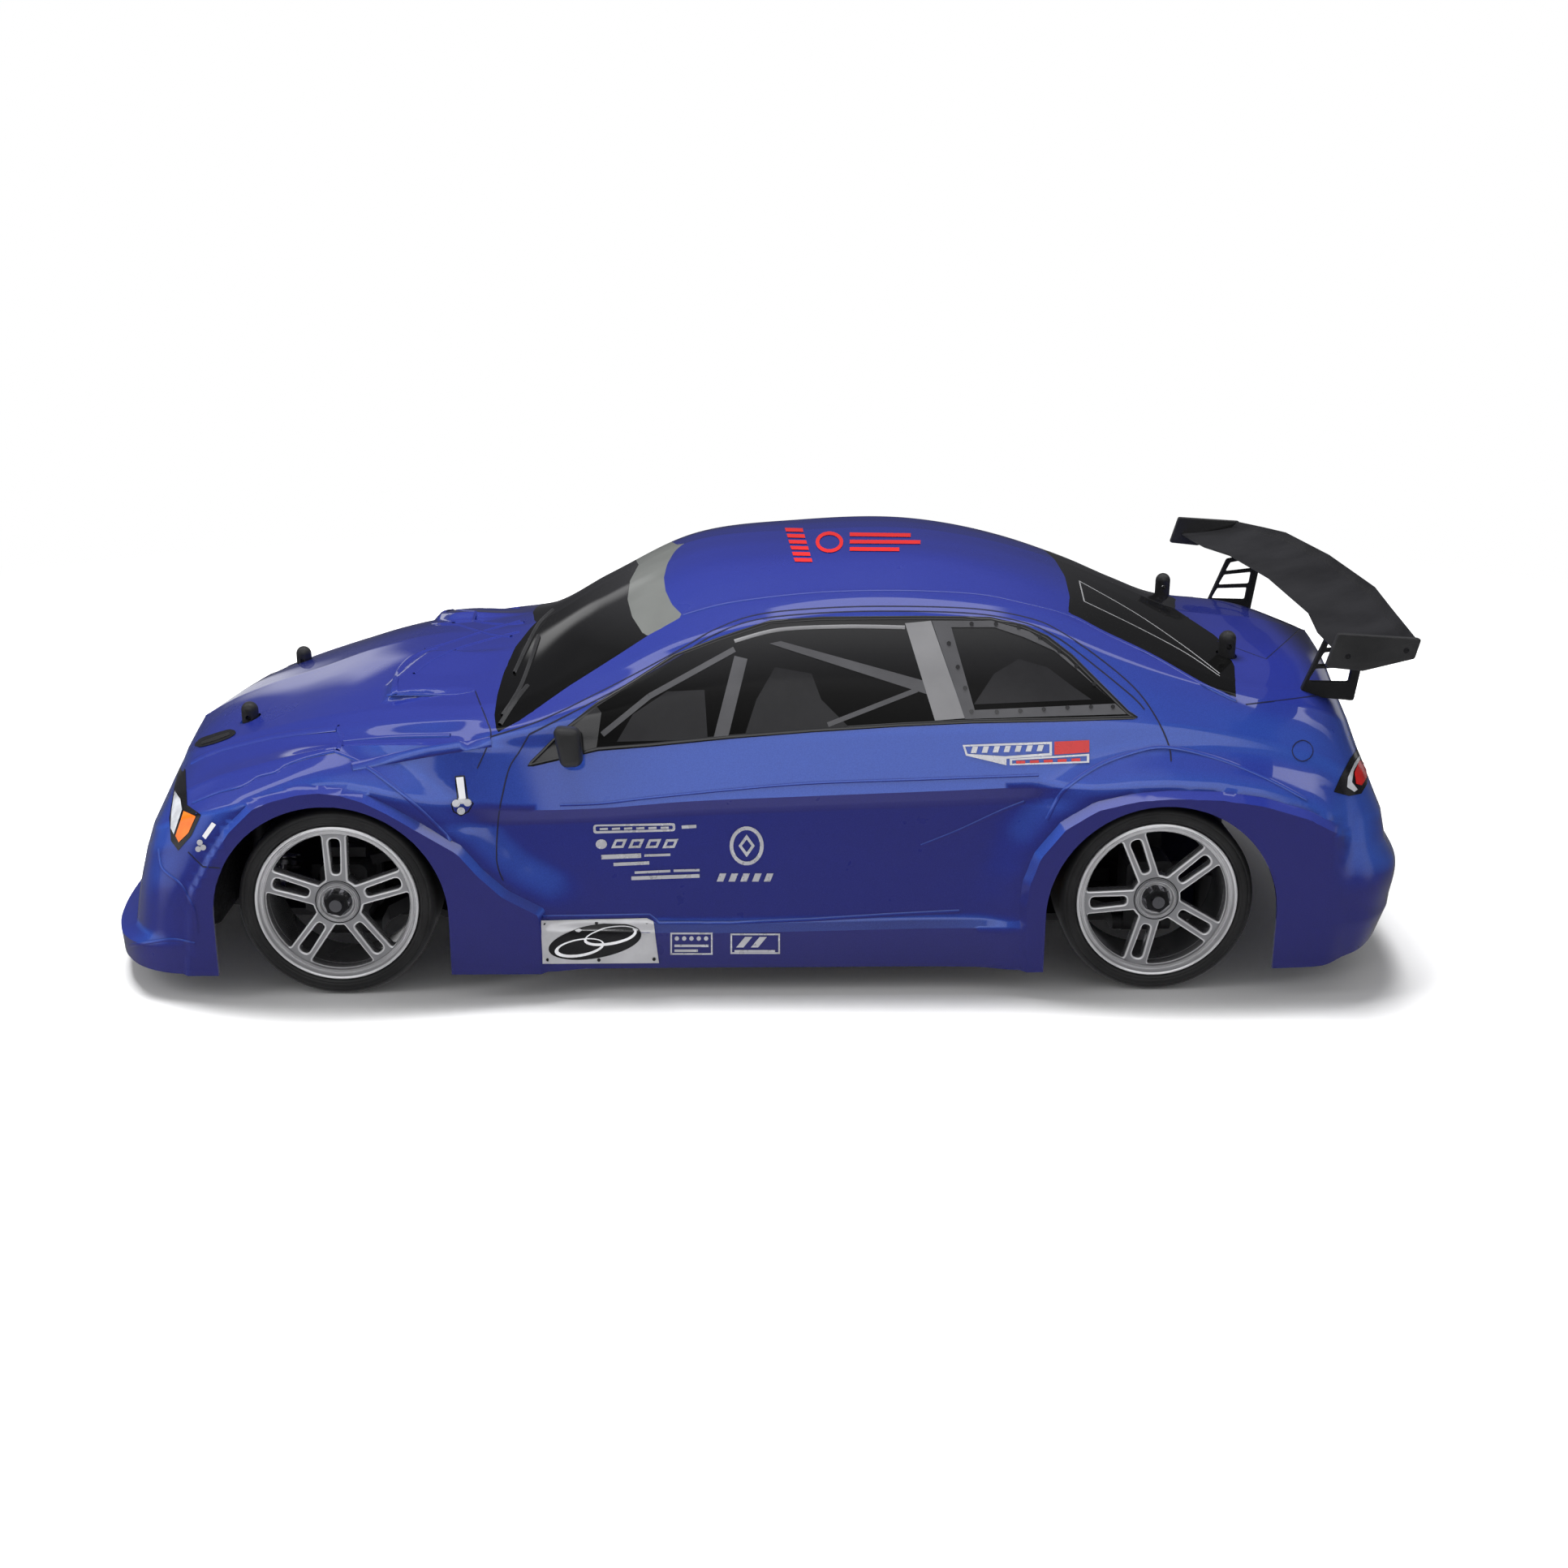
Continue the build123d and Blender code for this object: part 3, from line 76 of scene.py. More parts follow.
# front wing crest and bonnet: eased down and inboard towards the nose
EASE_X = [95, 108, 130, 150, 172, 190]
EASE = {6: [0.0, 0.6, 1.4, 2.6, 2.4, 1.6], 7: [0.0, 0.6, 1.4, 2.6, 2.4, 1.6], 8: [0.0, 0.6, 1.3, 2.4, 2.2, 1.4], 9: [0.0, 0.6, 1.2, 2.2, 2.0, 1.2]}
DROP_X = [-180, -160, -140, -120, -100, -88, -76, -60, -20, 0, 18, 34, 46, 60, 78, 92, 108, 130, 150, 172, 190]
DROP = {9: [0, 0.5, 0.6, 0.4, 0.5, 0.5, 0, 0, 0, 0, 0, 0, 0, 0.3, 0.9, 2.0, 1.6, 0.7, 0.8, 0.1, 0.0],
        10: [0.4, 1.6, 2.2, 1.6, 1.8, 1.4, -1.0, -0.2, 0, -1.0, -1.2, -0.5, 0.6, 2.3, 3.9, 4.3, 3.6, 2.6, 3.6, 2.3, 0.5],
        11: [0.5, 1.9, 2.5, 1.7, 2.0, 1.5, -1.1, -0.1, 0, -1.2, -1.4, -0.6, 0.8, 3.0, 5.0, 4.8, 3.6, 2.8, 3.9, 2.6, 0.4],
        12: [0.5, 1.9, 2.5, 1.7, 2.0, 1.5, -1.1, -0.1, 0, -1.2, -1.4, -0.6, 0.8, 3.0, 5.1, 4.8, 3.6, 2.8, 3.9, 2.6, 0.4]}
for _r, _row in enumerate(ROWS):
    _k = []
    for (_x, _y, _z) in _row['k']:
        if True:
            _t = float(np.interp(_x, EASE_X, EASE[_r])) if _r in EASE and _x > 90 else 0.0
            if _t:
                _d = np.array([_x - 2.1, _y - 645.3, _z - 243.7])
                _d = _d / -_d[2]
                _x, _y, _z = _x + _d[0] * _t, _y + _d[1] * _t, _z + _d[2] * _t
            if _r in DROP:
                _z -= float(np.interp(_x, DROP_X, DROP[_r]))
        _k.append((float(_x), float(_y), float(_z)))
    _row['k'] = _k


def pchip(xk, yk, x):
    xk=np.asarray(xk,float); yk=np.asarray(yk,float)
    o=np.argsort(xk); xk=xk[o]; yk=yk[o]
    h=np.diff(xk); d=np.diff(yk)/h
    m=np.zeros_like(yk)
    for i in range(1,len(xk)-1):
        if d[i-1]*d[i]<=0: m[i]=0
        else:
            w1=2*h[i]+h[i-1]; w2=h[i]+2*h[i-1]
            m[i]=(w1+w2)/(w1/d[i-1]+w2/d[i])
    m[0]=d[0]; m[-1]=d[-1]
    x=np.asarray(x,float)
    i=np.clip(np.searchsorted(xk,x)-1,0,len(h)-1)
    t=(x-xk[i])/h[i]
    h00=2*t**3-3*t**2+1; h10=t**3-2*t**2+t; h01=-2*t**3+3*t**2; h11=t**3-t**2
    return h00*yk[i]+h10*h[i]*m[i]+h01*yk[i+1]+h11*h[i]*m[i+1]
XF, XR = 178.0, -181.0
def row_points(row):
    k=np.array(row['k'],float)
    fy=lambda x: pchip(k[:,0],k[:,1],x)
    fz=lambda x: pchip(k[:,0],k[:,2],x)
    P=[]
    X0,Z0,n=row['n']; ys,zs=float(fy(XF)),float(fz(XF))
    for th in (0.0,0.14,0.30,0.46,0.62,0.80):
        a=th*math.pi/2
        cx=math.cos(a)**(2/n); sy=math.sin(a)**(2/n)
        x=XF+(X0-XF)*cx
        w=(1-cx)**1.0
        w=((x-XF)/(X0-XF))
        z=zs+(Z0-zs)*(w**1.15)
        P.append((x,ys*sy if ys>0 else 0.0,z))
    for x in [XF]+[q for q in KX if XR<q<XF]+[XR]:
        P.append((x,float(fy(x)),float(fz(x))))
    X1,Z1,n=row['t']; ys,zs=float(fy(XR)),float(fz(XR))
    for th in (0.80,0.62,0.46,0.30,0.14,0.0):
        a=th*math.pi/2
        cx=math.cos(a)**(2/n); sy=math.sin(a)**(2/n)
        x=XR+(X1-XR)*cx
        w=((x-XR)/(X1-XR))
        z=zs+(Z1-zs)*(w**1.15)
        P.append((x,ys*sy if ys>0 else 0.0,z))
    return np.array(P)
def curve(P, crease, t):
    """P (n,...,3) control points along axis 0, t in [0,n-1]; chord-length tangents"""
    n=P.shape[0]
    L=np.linalg.norm(np.diff(P,axis=0),axis=-1)
    L=np.maximum(L,1e-6)
    D=np.diff(P,axis=0)/L[...,None]
    M=np.zeros_like(P)
    M[0]=D[0]; M[-1]=D[-1]
    for i in range(1,n-1):
        M[i]=(D[i-1]*L[i][...,None]+D[i]*L[i-1][...,None])/(L[i-1]+L[i])[...,None]
    out=[]
    for tt in t:
        i=min(int(math.floor(tt)),n-2); s=tt-i
        m0=D[i] if crease[i] else M[i]
        m1=D[i] if crease[i+1] else M[i+1]
        h00=2*s**3-3*s**2+1; h10=s**3-2*s**2+s; h01=-2*s**3+3*s**2; h11=s**3-s**2
        out.append(h00*P[i]+h10*m0*L[i][...,None]+h01*P[i+1]+h11*m1*L[i][...,None])
    return np.array(out)
def control():
    return np.array([row_points(r) for r in ROWS])       # (rows, stations, 3)
def surface(step=1.6):
    C=control(); nr,ns,_=C.shape
    # parameter samples, spaced by real length
    def samples(A,axis,step,mn):
        L=np.linalg.norm(np.diff(A,axis=axis),axis=-1)
        L=L.max(axis=1-axis) if axis==0 else L.max(axis=0)
        t=[0.0]
        for i,l in enumerate(L):
            k=max(mn,int(math.ceil(l/step)))
            t+= [i+(j+1)/k for j in range(k)]
        return t
    tv=samples(C,0,step,2); tu=samples(C,1,step,2)
    U=curve(np.swapaxes(C,0,1),[False]*ns,tu)            # (nu, rows, 3)
    V=curve(np.swapaxes(U,0,1),[r['c'] for r in ROWS],tv) # (nv, nu, 3)
    return V,tv,tu


# ------------------------------------------------------------------ camera
CAM_POS = np.array([0.0021, 0.6453, 0.2437])
YAW, PITCH, ROLL = math.radians(-1.36), math.radians(17.54), math.radians(0.25)
FPX = 2282.2
_d = np.array([math.sin(YAW) * math.cos(PITCH), -math.cos(YAW) * math.cos(PITCH), -math.sin(PITCH)])
_r = np.cross(_d, [0, 0, 1]); _r /= np.linalg.norm(_r)
_u = np.cross(_r, _d)
R2 = math.cos(ROLL) * _r + math.sin(ROLL) * _u
U2 = -math.sin(ROLL) * _r + math.cos(ROLL) * _u


def to_view(P):
    """metres -> frame coordinates (1932 x 1932)"""
    Q = np.asarray(P, float) - CAM_POS
    z = Q @ _d
    return np.stack([966 + FPX * (Q @ R2) / z, 966 - FPX * (Q @ U2) / z], -1)


def view_dir(p):
    v = _d + R2 * (p[0] - 966) / FPX - U2 * (p[1] - 966) / FPX
    return v / np.linalg.norm(v)


# --------------------------------------------------------------- materials
MATS = {}


def new_mat(name):
    m = bpy.data.materials.new(name)
    m.use_nodes = True
    nt = m.node_tree
    b = nt.nodes["Principled BSDF"]
    MATS[name] = m
    return m, nt, b


def N(nt, kind, **kw):
    n = nt.nodes.new(kind)
    for k, v in kw.items():
        setattr(n, k, v)
    return n


def coords(nt, scale=1.0):
    tc = N(nt, "ShaderNodeTexCoord")
    mp = N(nt, "ShaderNodeMapping")
    mp.inputs["Scale"].default_value = (scale, scale, scale)
    nt.links.new(tc.outputs["Object"], mp.inputs["Vector"])
    return mp.outputs["Vector"]


def noise(nt, vec, scale, detail=4.0, rough=0.55):
    n = N(nt, "ShaderNodeTexNoise")
    n.inputs["Scale"].default_value = scale
    n.inputs["Detail"].default_value = detail
    n.inputs["Roughness"].default_value = rough
    nt.links.new(vec, n.inputs["Vector"])
    return n.outputs["Fac"]


def ramp(nt, fac, stops):
    r = N(nt, "ShaderNodeValToRGB")
    el = r.color_ramp.elements
    while len(el) > 1:
        el.remove(el[0])
    el[0].position, el[0].color = stops[0][0], (*stops[0][1], 1)
    for p, c in stops[1:]:
        e = el.new(p)
        e.color = (*c, 1)
    nt.links.new(fac, r.inputs["Fac"])
    return r.outputs["Color"]


def bump(nt, b, height, strength, dist):
    n = N(nt, "ShaderNodeBump")
    n.inputs["Strength"].default_value = strength
    n.inputs["Distance"].default_value = dist
    nt.links.new(height, n.inputs["Height"])
    nt.links.new(n.outputs["Normal"], b.inputs["Normal"])


def basic(name, col, rough, metal=0.0, coat=0.0, vary=0.25, vscale=40.0, bscale=900.0, bstr=0.15, bdist=0.0002,
          rvary=0.12, spec=0.5, coat_rough=0.03):
    """colour with slow variation, roughness variation and fine surface grain"""
    m, nt, b = new_mat(name)
    v = coords(nt)
    n1 = noise(nt, v, vscale)
    lo = tuple(c * (1 - vary) for c in col)
    hi = tuple(min(1, c * (1 + vary)) for c in col)
    nt.links.new(ramp(nt, n1, [(0.3, lo), (0.7, hi)]), b.inputs["Base Color"])
    n2 = noise(nt, v, vscale * 3.1)
    mr = N(nt, "ShaderNodeMapRange")
    mr.inputs["To Min"].default_value = max(0.0, rough - rvary * 0.5)
    mr.inputs["To Max"].default_value = min(1.0, rough + rvary * 0.5)
    nt.links.new(n2, mr.inputs["Value"])
    nt.links.new(mr.outputs["Result"], b.inputs["Roughness"])
    b.inputs["Metallic"].default_value = metal
    b.inputs["Coat Weight"].default_value = coat
    b.inputs["Coat Roughness"].default_value = coat_rough
    b.inputs["Specular IOR Level"].default_value = spec
    if bstr > 0:
        bump(nt, b, noise(nt, v, bscale, 2.0), bstr, bdist)
    return m


def paint_material():
    m, nt, b = new_mat("paint_blue")
    v = coords(nt)
    geo = N(nt, "ShaderNodeNewGeometry")
    sep = N(nt, "ShaderNodeSeparateXYZ")
    nt.links.new(geo.outputs["Normal"], sep.inputs["Vector"])
    # painted shade and painted highlight: the colour follows the normal, darker navy on the flanks and lightest violet
    # blue on the upward slopes, lighter on top than on the flanks, for light falling from above
    col = ramp(nt, sep.outputs["Z"], [(0.0, (0.015, 0.016, 0.122)), (0.16, (0.016, 0.023, 0.170)),
                                      (0.42, (0.026, 0.070, 0.345)), (0.72, (0.017, 0.030, 0.195)), (1.0, (0.013, 0.019, 0.150))])
    fl = noise(nt, v, 3200.0, 1.0)
    flake = ramp(nt, fl, [(0.35, (0.86, 0.86, 0.90)), (0.75, (1.12, 1.12, 1.10))])
    mix = N(nt, "ShaderNodeMix", data_type="RGBA", blend_type="MULTIPLY")
    mix.inputs[0].default_value = 1.0
    nt.links.new(col, mix.inputs[6])
    nt.links.new(flake, mix.inputs[7])
    nt.links.new(mix.outputs[2], b.inputs["Base Color"])
    b.inputs["Metallic"].default_value = 0.0
    b.inputs["Specular IOR Level"].default_value = 0.12
    mr = N(nt, "ShaderNodeMapRange")
    mr.inputs["To Min"].default_value = 0.24
    mr.inputs["To Max"].default_value = 0.34
    nt.links.new(noise(nt, v, 60.0), mr.inputs["Value"])
    nt.links.new(mr.outputs["Result"], b.inputs["Roughness"])
    b.inputs["Coat Weight"].default_value = 1.0
    b.inputs["Coat Roughness"].default_value = 0.035
    b.inputs["Coat IOR"].default_value = 1.55
    bump(nt, b, noise(nt, v, 240.0, 2.0), 0.05, 0.0002)
    return m


def glass_material(name, stops, axis="Z", lo=0.08, hi=0.13, rough=0.07, spec=0.5, coat=0.25):
    """printed glossy glazing with a soft gradient along one axis (object space, metres)"""
    m, nt, b = new_mat(name)
    v = coords(nt)
    sep = N(nt, "ShaderNodeSeparateXYZ")
    nt.links.new(v, sep.inputs["Vector"])
    mr = N(nt, "ShaderNodeMapRange")
    mr.inputs["From Min"].default_value = lo
    mr.inputs["From Max"].default_value = hi
    nt.links.new(sep.outputs[axis], mr.inputs["Value"])
    nt.links.new(ramp(nt, mr.outputs["Result"], stops), b.inputs["Base Color"])
    mr2 = N(nt, "ShaderNodeMapRange")
    mr2.inputs["To Min"].default_value = rough * 0.8
    mr2.inputs["To Max"].default_value = rough * 1.4
    nt.links.new(noise(nt, v, 90.0), mr2.inputs["Value"])
    nt.links.new(mr2.outputs["Result"], b.inputs["Roughness"])
    b.inputs["Specular IOR Level"].default_value = spec
    b.inputs["Coat Weight"].default_value = coat
    b.inputs["Coat Roughness"].default_value = 0.02
    bump(nt, b, noise(nt, v, 30.0, 2.0), 0.03, 0.0004)
    return m


paint_material()
basic("paint_inside", (0.02, 0.02, 0.12), 0.55, vary=0.3, coat=0.0)
basic("black_gloss", (0.006, 0.006, 0.007), 0.12, coat=0.5, vary=0.3, bstr=0.03)
basic("black_satin", (0.018, 0.018, 0.019), 0.42, vary=0.35, bscale=1500, bstr=0.22, bdist=0.00012)
basic("black_lattice", (0.012, 0.012, 0.013), 0.38, vary=0.3, bscale=1500, bstr=0.18, bdist=0.0001)
basic("chassis_plastic", (0.020, 0.020, 0.022), 0.5, vary=0.3, bscale=1200, bstr=0.25, bdist=0.00015)
basic("seam", (0.008, 0.009, 0.035), 0.35, vary=0.2, bstr=0.05)
basic("decal_silver", (0.50, 0.50, 0.53), 0.28, metal=0.35, vary=0.12, vscale=90, bstr=0.04, coat=0.4)
basic("decal_plate", (0.60, 0.60, 0.62), 0.34, metal=0.45, vary=0.10, vscale=120, bscale=600, bstr=0.10, coat=0.3)
basic("decal_white", (0.72, 0.72, 0.74), 0.3, vary=0.06, coat=0.4, bstr=0.03)
basic("decal_black", (0.006, 0.006, 0.007), 0.2, vary=0.3, coat=0.4, bstr=0.03)
basic("decal_red", (0.44, 0.014, 0.014), 0.28, vary=0.10, coat=0.5, bstr=0.03)
basic("decal_grey", (0.11, 0.115, 0.11), 0.3, vary=0.12, coat=0.4, bstr=0.04)
basic("lamp_orange", (0.85, 0.17, 0.01), 0.12, vary=0.2, vscale=160, coat=1.0, bscale=500, bstr=0.2)
basic("lamp_red", (0.55, 0.01, 0.008), 0.12, vary=0.2, vscale=160, coat=1.0, bscale=500, bstr=0.2)
basic("lamp_clear", (0.62, 0.64, 0.68), 0.10, metal=0.3, vary=0.25, vscale=220, coat=1.0, bscale=500, bstr=0.25)
basic("cage_light", (0.185, 0.185, 0.192), 0.22, vary=0.12, coat=0.1, bstr=0.03, spec=0.2)
basic("cage_mid", (0.070, 0.070, 0.075), 0.22, vary=0.15, coat=0.1, bstr=0.03, spec=0.2)
basic("cage_dark", (0.017, 0.017, 0.0185), 0.20, vary=0.2, coat=0.08, bstr=0.03, spec=0.15)
basic("wing_black", (0.010, 0.010, 0.011), 0.36, vary=0.35, bscale=1500, bstr=0.22, bdist=0.00012, spec=0.32)


def rim_material():
    """grey machined faces, coloured by the normal: painted highlight on the bevelled edges and painted shade on the
    surfaces facing round the axle, such as the barrel walls
    """
    m, nt, b = new_mat("rim_metal")
    v = coords(nt)
    geo = N(nt, "ShaderNodeNewGeometry")
    sep = N(nt, "ShaderNodeSeparateXYZ")
    nt.links.new(geo.outputs["Normal"], sep.inputs["Vector"])
    ab = N(nt, "ShaderNodeMath", operation="ABSOLUTE")
    nt.links.new(sep.outputs["Y"], ab.inputs[0])
    # painted highlight on the bevels (|normal y| about 0.55 to 0.94), painted shade where the normal faces round the
    # axle
    col = ramp(nt, ab.outputs[0], [(0.0, (0.26, 0.26, 0.27)), (0.30, (0.42, 0.42, 0.43)), (0.55, (0.92, 0.92, 0.93)),
                                   (0.94, (0.85, 0.85, 0.87)), (0.985, (0.42, 0.42, 0.435)), (1.0, (0.40, 0.40, 0.415))])
    n1 = noise(nt, v, 60.0)
    var = ramp(nt, n1, [(0.3, (0.93, 0.93, 0.93)), (0.7, (1.05, 1.05, 1.05))])
    mix = N(nt, "ShaderNodeMix", data_type="RGBA", blend_type="MULTIPLY")
    mix.inputs[0].default_value = 1.0
    nt.links.new(col, mix.inputs[6])
    nt.links.new(var, mix.inputs[7])
    nt.links.new(mix.outputs[2], b.inputs["Base Color"])
    b.inputs["Metallic"].default_value = 0.62
    mr = N(nt, "ShaderNodeMapRange")
    mr.inputs["To Min"].default_value = 0.16
    mr.inputs["To Max"].default_value = 0.26
    nt.links.new(noise(nt, v, 180.0), mr.inputs["Value"])
    nt.links.new(mr.outputs["Result"], b.inputs["Roughness"])
    bump(nt, b, noise(nt, v, 900.0, 2.0), 0.05, 0.0002)
    return m


rim_material()
basic("rim_dark", (0.13, 0.13, 0.14), 0.30, metal=0.9, vary=0.15, vscale=60, bscale=900, bstr=0.08)
basic("hub_black", (0.007, 0.007, 0.008), 0.30, vary=0.3, coat=0.0, bstr=0.08, spec=0.3)
basic("steel", (0.42, 0.42, 0.44), 0.28, metal=1.0, vary=0.12, bscale=700, bstr=0.12)
basic("spring_steel", (0.55, 0.55, 0.57), 0.20, metal=1.0, vary=0.08, bstr=0.05)
basic("shock_alloy", (0.05, 0.11, 0.42), 0.26, metal=0.9, vary=0.10, bstr=0.06)
basic("motor_can", (0.40, 0.41, 0.43), 0.30, metal=0.95, vary=0.10, bscale=500, bstr=0.08)
basic("battery_wrap", (0.62, 0.25, 0.02), 0.30, vary=0.12, coat=0.5, bscale=120, bstr=0.12, bdist=0.0004)
basic("electronics", (0.015, 0.015, 0.018), 0.36, vary=0.3, bscale=900, bstr=0.2)
basic("servo_case", (0.016, 0.016, 0.018), 0.34, vary=0.3, bscale=1100, bstr=0.2)
basic("gear_plastic", (0.035, 0.035, 0.038), 0.40, vary=0.25, bscale=900, bstr=0.15)
basic("brass_gear", (0.62, 0.42, 0.14), 0.28, metal=1.0, vary=0.10, bscale=600, bstr=0.1)
basic("foam", (0.018, 0.018, 0.020), 0.92, vary=0.5, vscale=260, bscale=520, bstr=0.9, bdist=0.0006)


def tyre_material():
    m, nt, b = new_mat("tyre_rubber")
    v = coords(nt)
    n1 = noise(nt, v, 70.0, 6.0)
    nt.links.new(ramp(nt, n1, [(0.3, (0.0075, 0.0075, 0.0080)), (0.75, (0.017, 0.017, 0.0175))]), b.inputs["Base Color"])
    mr = N(nt, "ShaderNodeMapRange")
    mr.inputs["To Min"].default_value = 0.42
    mr.inputs["To Max"].default_value = 0.62
    nt.links.new(noise(nt, v, 30.0), mr.inputs["Value"])
    nt.links.new(mr.outputs["Result"], b.inputs["Roughness"])
    bump(nt, b, noise(nt, v, 1300.0, 3.0), 0.25, 0.00015)
    return m


tyre_material()
glass_material("glass_windscreen", [(0.0, (0.002, 0.002, 0.002)), (0.45, (0.004, 0.004, 0.004)), (0.8, (0.016, 0.016, 0.017)), (1.0, (0.035, 0.035, 0.036))], "Z", 0.088, 0.126, spec=0.2, coat=0.05)
glass_material("glass_side", [(0.0, (0.002, 0.002, 0.002)), (0.35, (0.006, 0.006, 0.006)), (0.7, (0.016, 0.016, 0.017)), (1.0, (0.032, 0.032, 0.033))], "Z", 0.084, 0.116, spec=0.05, coat=0.0)
glass_material("glass_rear", [(0.0, (0.002, 0.002, 0.002)), (0.6, (0.005, 0.005, 0.005)), (1.0, (0.012, 0.012, 0.0125))], "Z", 0.090, 0.128, spec=0.15, coat=0.03)

SLOT_MAT = {"body_paint": "paint_blue", "black_plastic": "black_satin", "chassis_plastic": "chassis_plastic",
            "rim_silver": "rim_metal", "tyre_rubber": "tyre_rubber", "steel": "steel", "shock_alloy": "shock_alloy",
            "spring_steel": "spring_steel", "motor_can": "motor_can", "battery_wrap": "battery_wrap",
            "electronics": "electronics", "foam": "foam", "gear_plastic": "gear_plastic", "brass_gear": "brass_gear",
            "servo_case": "servo_case"}
NODE_SLOT = {s["node"]: s["material_slot"] for s in frame["record"]["subparts"]}


def node_object(name):
    o = frame["nodes"][name]
    return o if hasattr(o, "data") else bpy.data.objects[o]


for nd in frame["nodes"]:
    o = node_object(nd)
    mat = MATS[SLOT_MAT[NODE_SLOT[nd]]]
    if len(o.material_slots) == 0:
        o.data.materials.append(mat)
    else:
        for s in o.material_slots:
            s.material = mat

# ------------------------------------------------------------ mesh helpers
MM = 0.001
COL = bpy.context.scene.collection


def link(name, me, body=None, mats=(), smooth=True, sharp=32, normals=None, slot=None):
    ob = bpy.data.objects.new(name, me)
    COL.objects.link(ob)
    for m in mats:
        me.materials.append(MATS[m])
    if smooth and len(me.polygons):
        me.shade_smooth()
        if normals is not None:
            me.normals_split_custom_set_from_vertices([tuple(n) for n in normals])
        elif sharp:
            me.set_sharp_from_angle(angle=math.radians(sharp))
    if body:
        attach(ob, body)
    return ob


def mesh_from(name, V, F, **kw):
    me = bpy.data.meshes.new(name)
    me.from_pydata([tuple(map(float, v)) for v in V], [], [tuple(map(int, f)) for f in F])
    me.validate()
    me.update()
    return link(name, me, **kw)


def mirrored(V, F, y_tol=None):
    """both halves of a half mesh; welds the seam at y = 0 when y_tol is given"""
    V = np.asarray(V, float)
    W = V * [1, -1, 1]
    n = len(V)
    F2 = [[n + i for i in reversed(f)] for f in F]
    VV = np.vstack([V, W])
    FF = [list(f) for f in F] + F2
    if y_tol is not None:
        mp = np.arange(2 * n)
        on = np.abs(V[:, 1]) < y_tol
        VV[:n][on, 1] = 0
        mp[n:][on] = np.arange(n)[on]
        FF = [[int(mp[i]) for i in f] for f in FF]
        FF = [f for f in FF if len(set(f)) == len(f)]
        used = np.zeros(2 * n, bool)
        used[[i for f in FF for i in f]] = True
        new = np.cumsum(used) - 1
        VV = VV[used]
        FF = [[int(new[i]) for i in f] for f in FF]
    return VV, FF


def apply_mods(ob):
    dg = bpy.context.evaluated_depsgraph_get()
    me = bpy.data.meshes.new_from_object(ob.evaluated_get(dg))
    old = ob.data
    ob.modifiers.clear()
    ob.data = me
    bpy.data.meshes.remove(old)
    return ob


def bevelled(ob, width, seg=2, angle=35):
    m = ob.modifiers.new("b", "BEVEL")
    m.width = width
    m.segments = seg
    m.limit_method = "ANGLE"
    m.angle_limit = math.radians(angle)
    m.harden_normals = False
    return apply_mods(ob)


def lathe(profile, n=96, axis="Y", caps=False):
    """profile [(r, t)], turned about the axis through the origin"""
    V, F = [], []
    k = len(profile)
    for i in range(n):
        a = 2 * math.pi * i / n
        for r, t in profile:
            c, s = r * math.cos(a), r * math.sin(a)
            V.append((c, t, s) if axis == "Y" else ((c, s, t) if axis == "Z" else (t, c, s)))
    for i in range(n):
        j = (i + 1) % n
        for q in range(k - 1):
            F.append((i * k + q, j * k + q, j * k + q + 1, i * k + q + 1))
    V = np.array(V)
    return V, F


def curve_plate(name, loops, depth, bevel, res=3):
    """flat plate with holes from 2D loops (x, y), bevelled edges, returned as mesh data in the XY plane, z 0..depth"""
    cu = bpy.data.curves.new(name + "_c", "CURVE")
    cu.dimensions = "2D"
    cu.fill_mode = "BOTH"
    cu.extrude = depth / 2 - bevel
    cu.bevel_depth = bevel
    cu.bevel_resolution = res
    cu.offset = -bevel
    for lp in loops:
        sp = cu.splines.new("POLY")
        sp.points.add(len(lp) - 1)
        for p, (x, y) in zip(sp.points, lp):
            p.co = (x, y, 0, 1)
        sp.use_cyclic_u = True
    ob = bpy.data.objects.new(name + "_t", cu)
    COL.objects.link(ob)
    dg = bpy.context.evaluated_depsgraph_get()
    me = bpy.data.meshes.new_from_object(ob.evaluated_get(dg))
    bpy.data.objects.remove(ob)
    bm = bmesh.new()
    bm.from_mesh(me)
    bmesh.ops.remove_doubles(bm, verts=bm.verts, dist=1e-6)
    bmesh.ops.recalc_face_normals(bm, faces=bm.faces)
    V = np.array([v.co[:] for v in bm.verts])
    F = [[v.index for v in f.verts] for f in bm.faces]
    bm.free()
    bpy.data.meshes.remove(me)
    V[:, 2] += depth / 2
    return V, F


def round_poly(pts, r, n=5):
    out = []
    m = len(pts)
    rr = r if hasattr(r, "__len__") else [r] * m
    for i in range(m):
        p = np.array(pts[i], float)
        a = np.array(pts[i - 1], float) - p
        b = np.array(pts[(i + 1) % m], float) - p
        la, lb = np.linalg.norm(a), np.linalg.norm(b)
        a, b = a / la, b / lb
        ang = math.acos(max(-1, min(1, float(a @ b))))
        if rr[i] <= 0 or ang > 3.10:
            out.append(tuple(p))
            continue
        t = min(rr[i] / math.tan(ang / 2), la * 0.48, lb * 0.48)
        s, e = p + a * t, p + b * t
        for k in range(n + 1):
            u = k / n
            out.append(tuple((1 - u) ** 2 * s + 2 * u * (1 - u) * p + u * u * e))
    return out


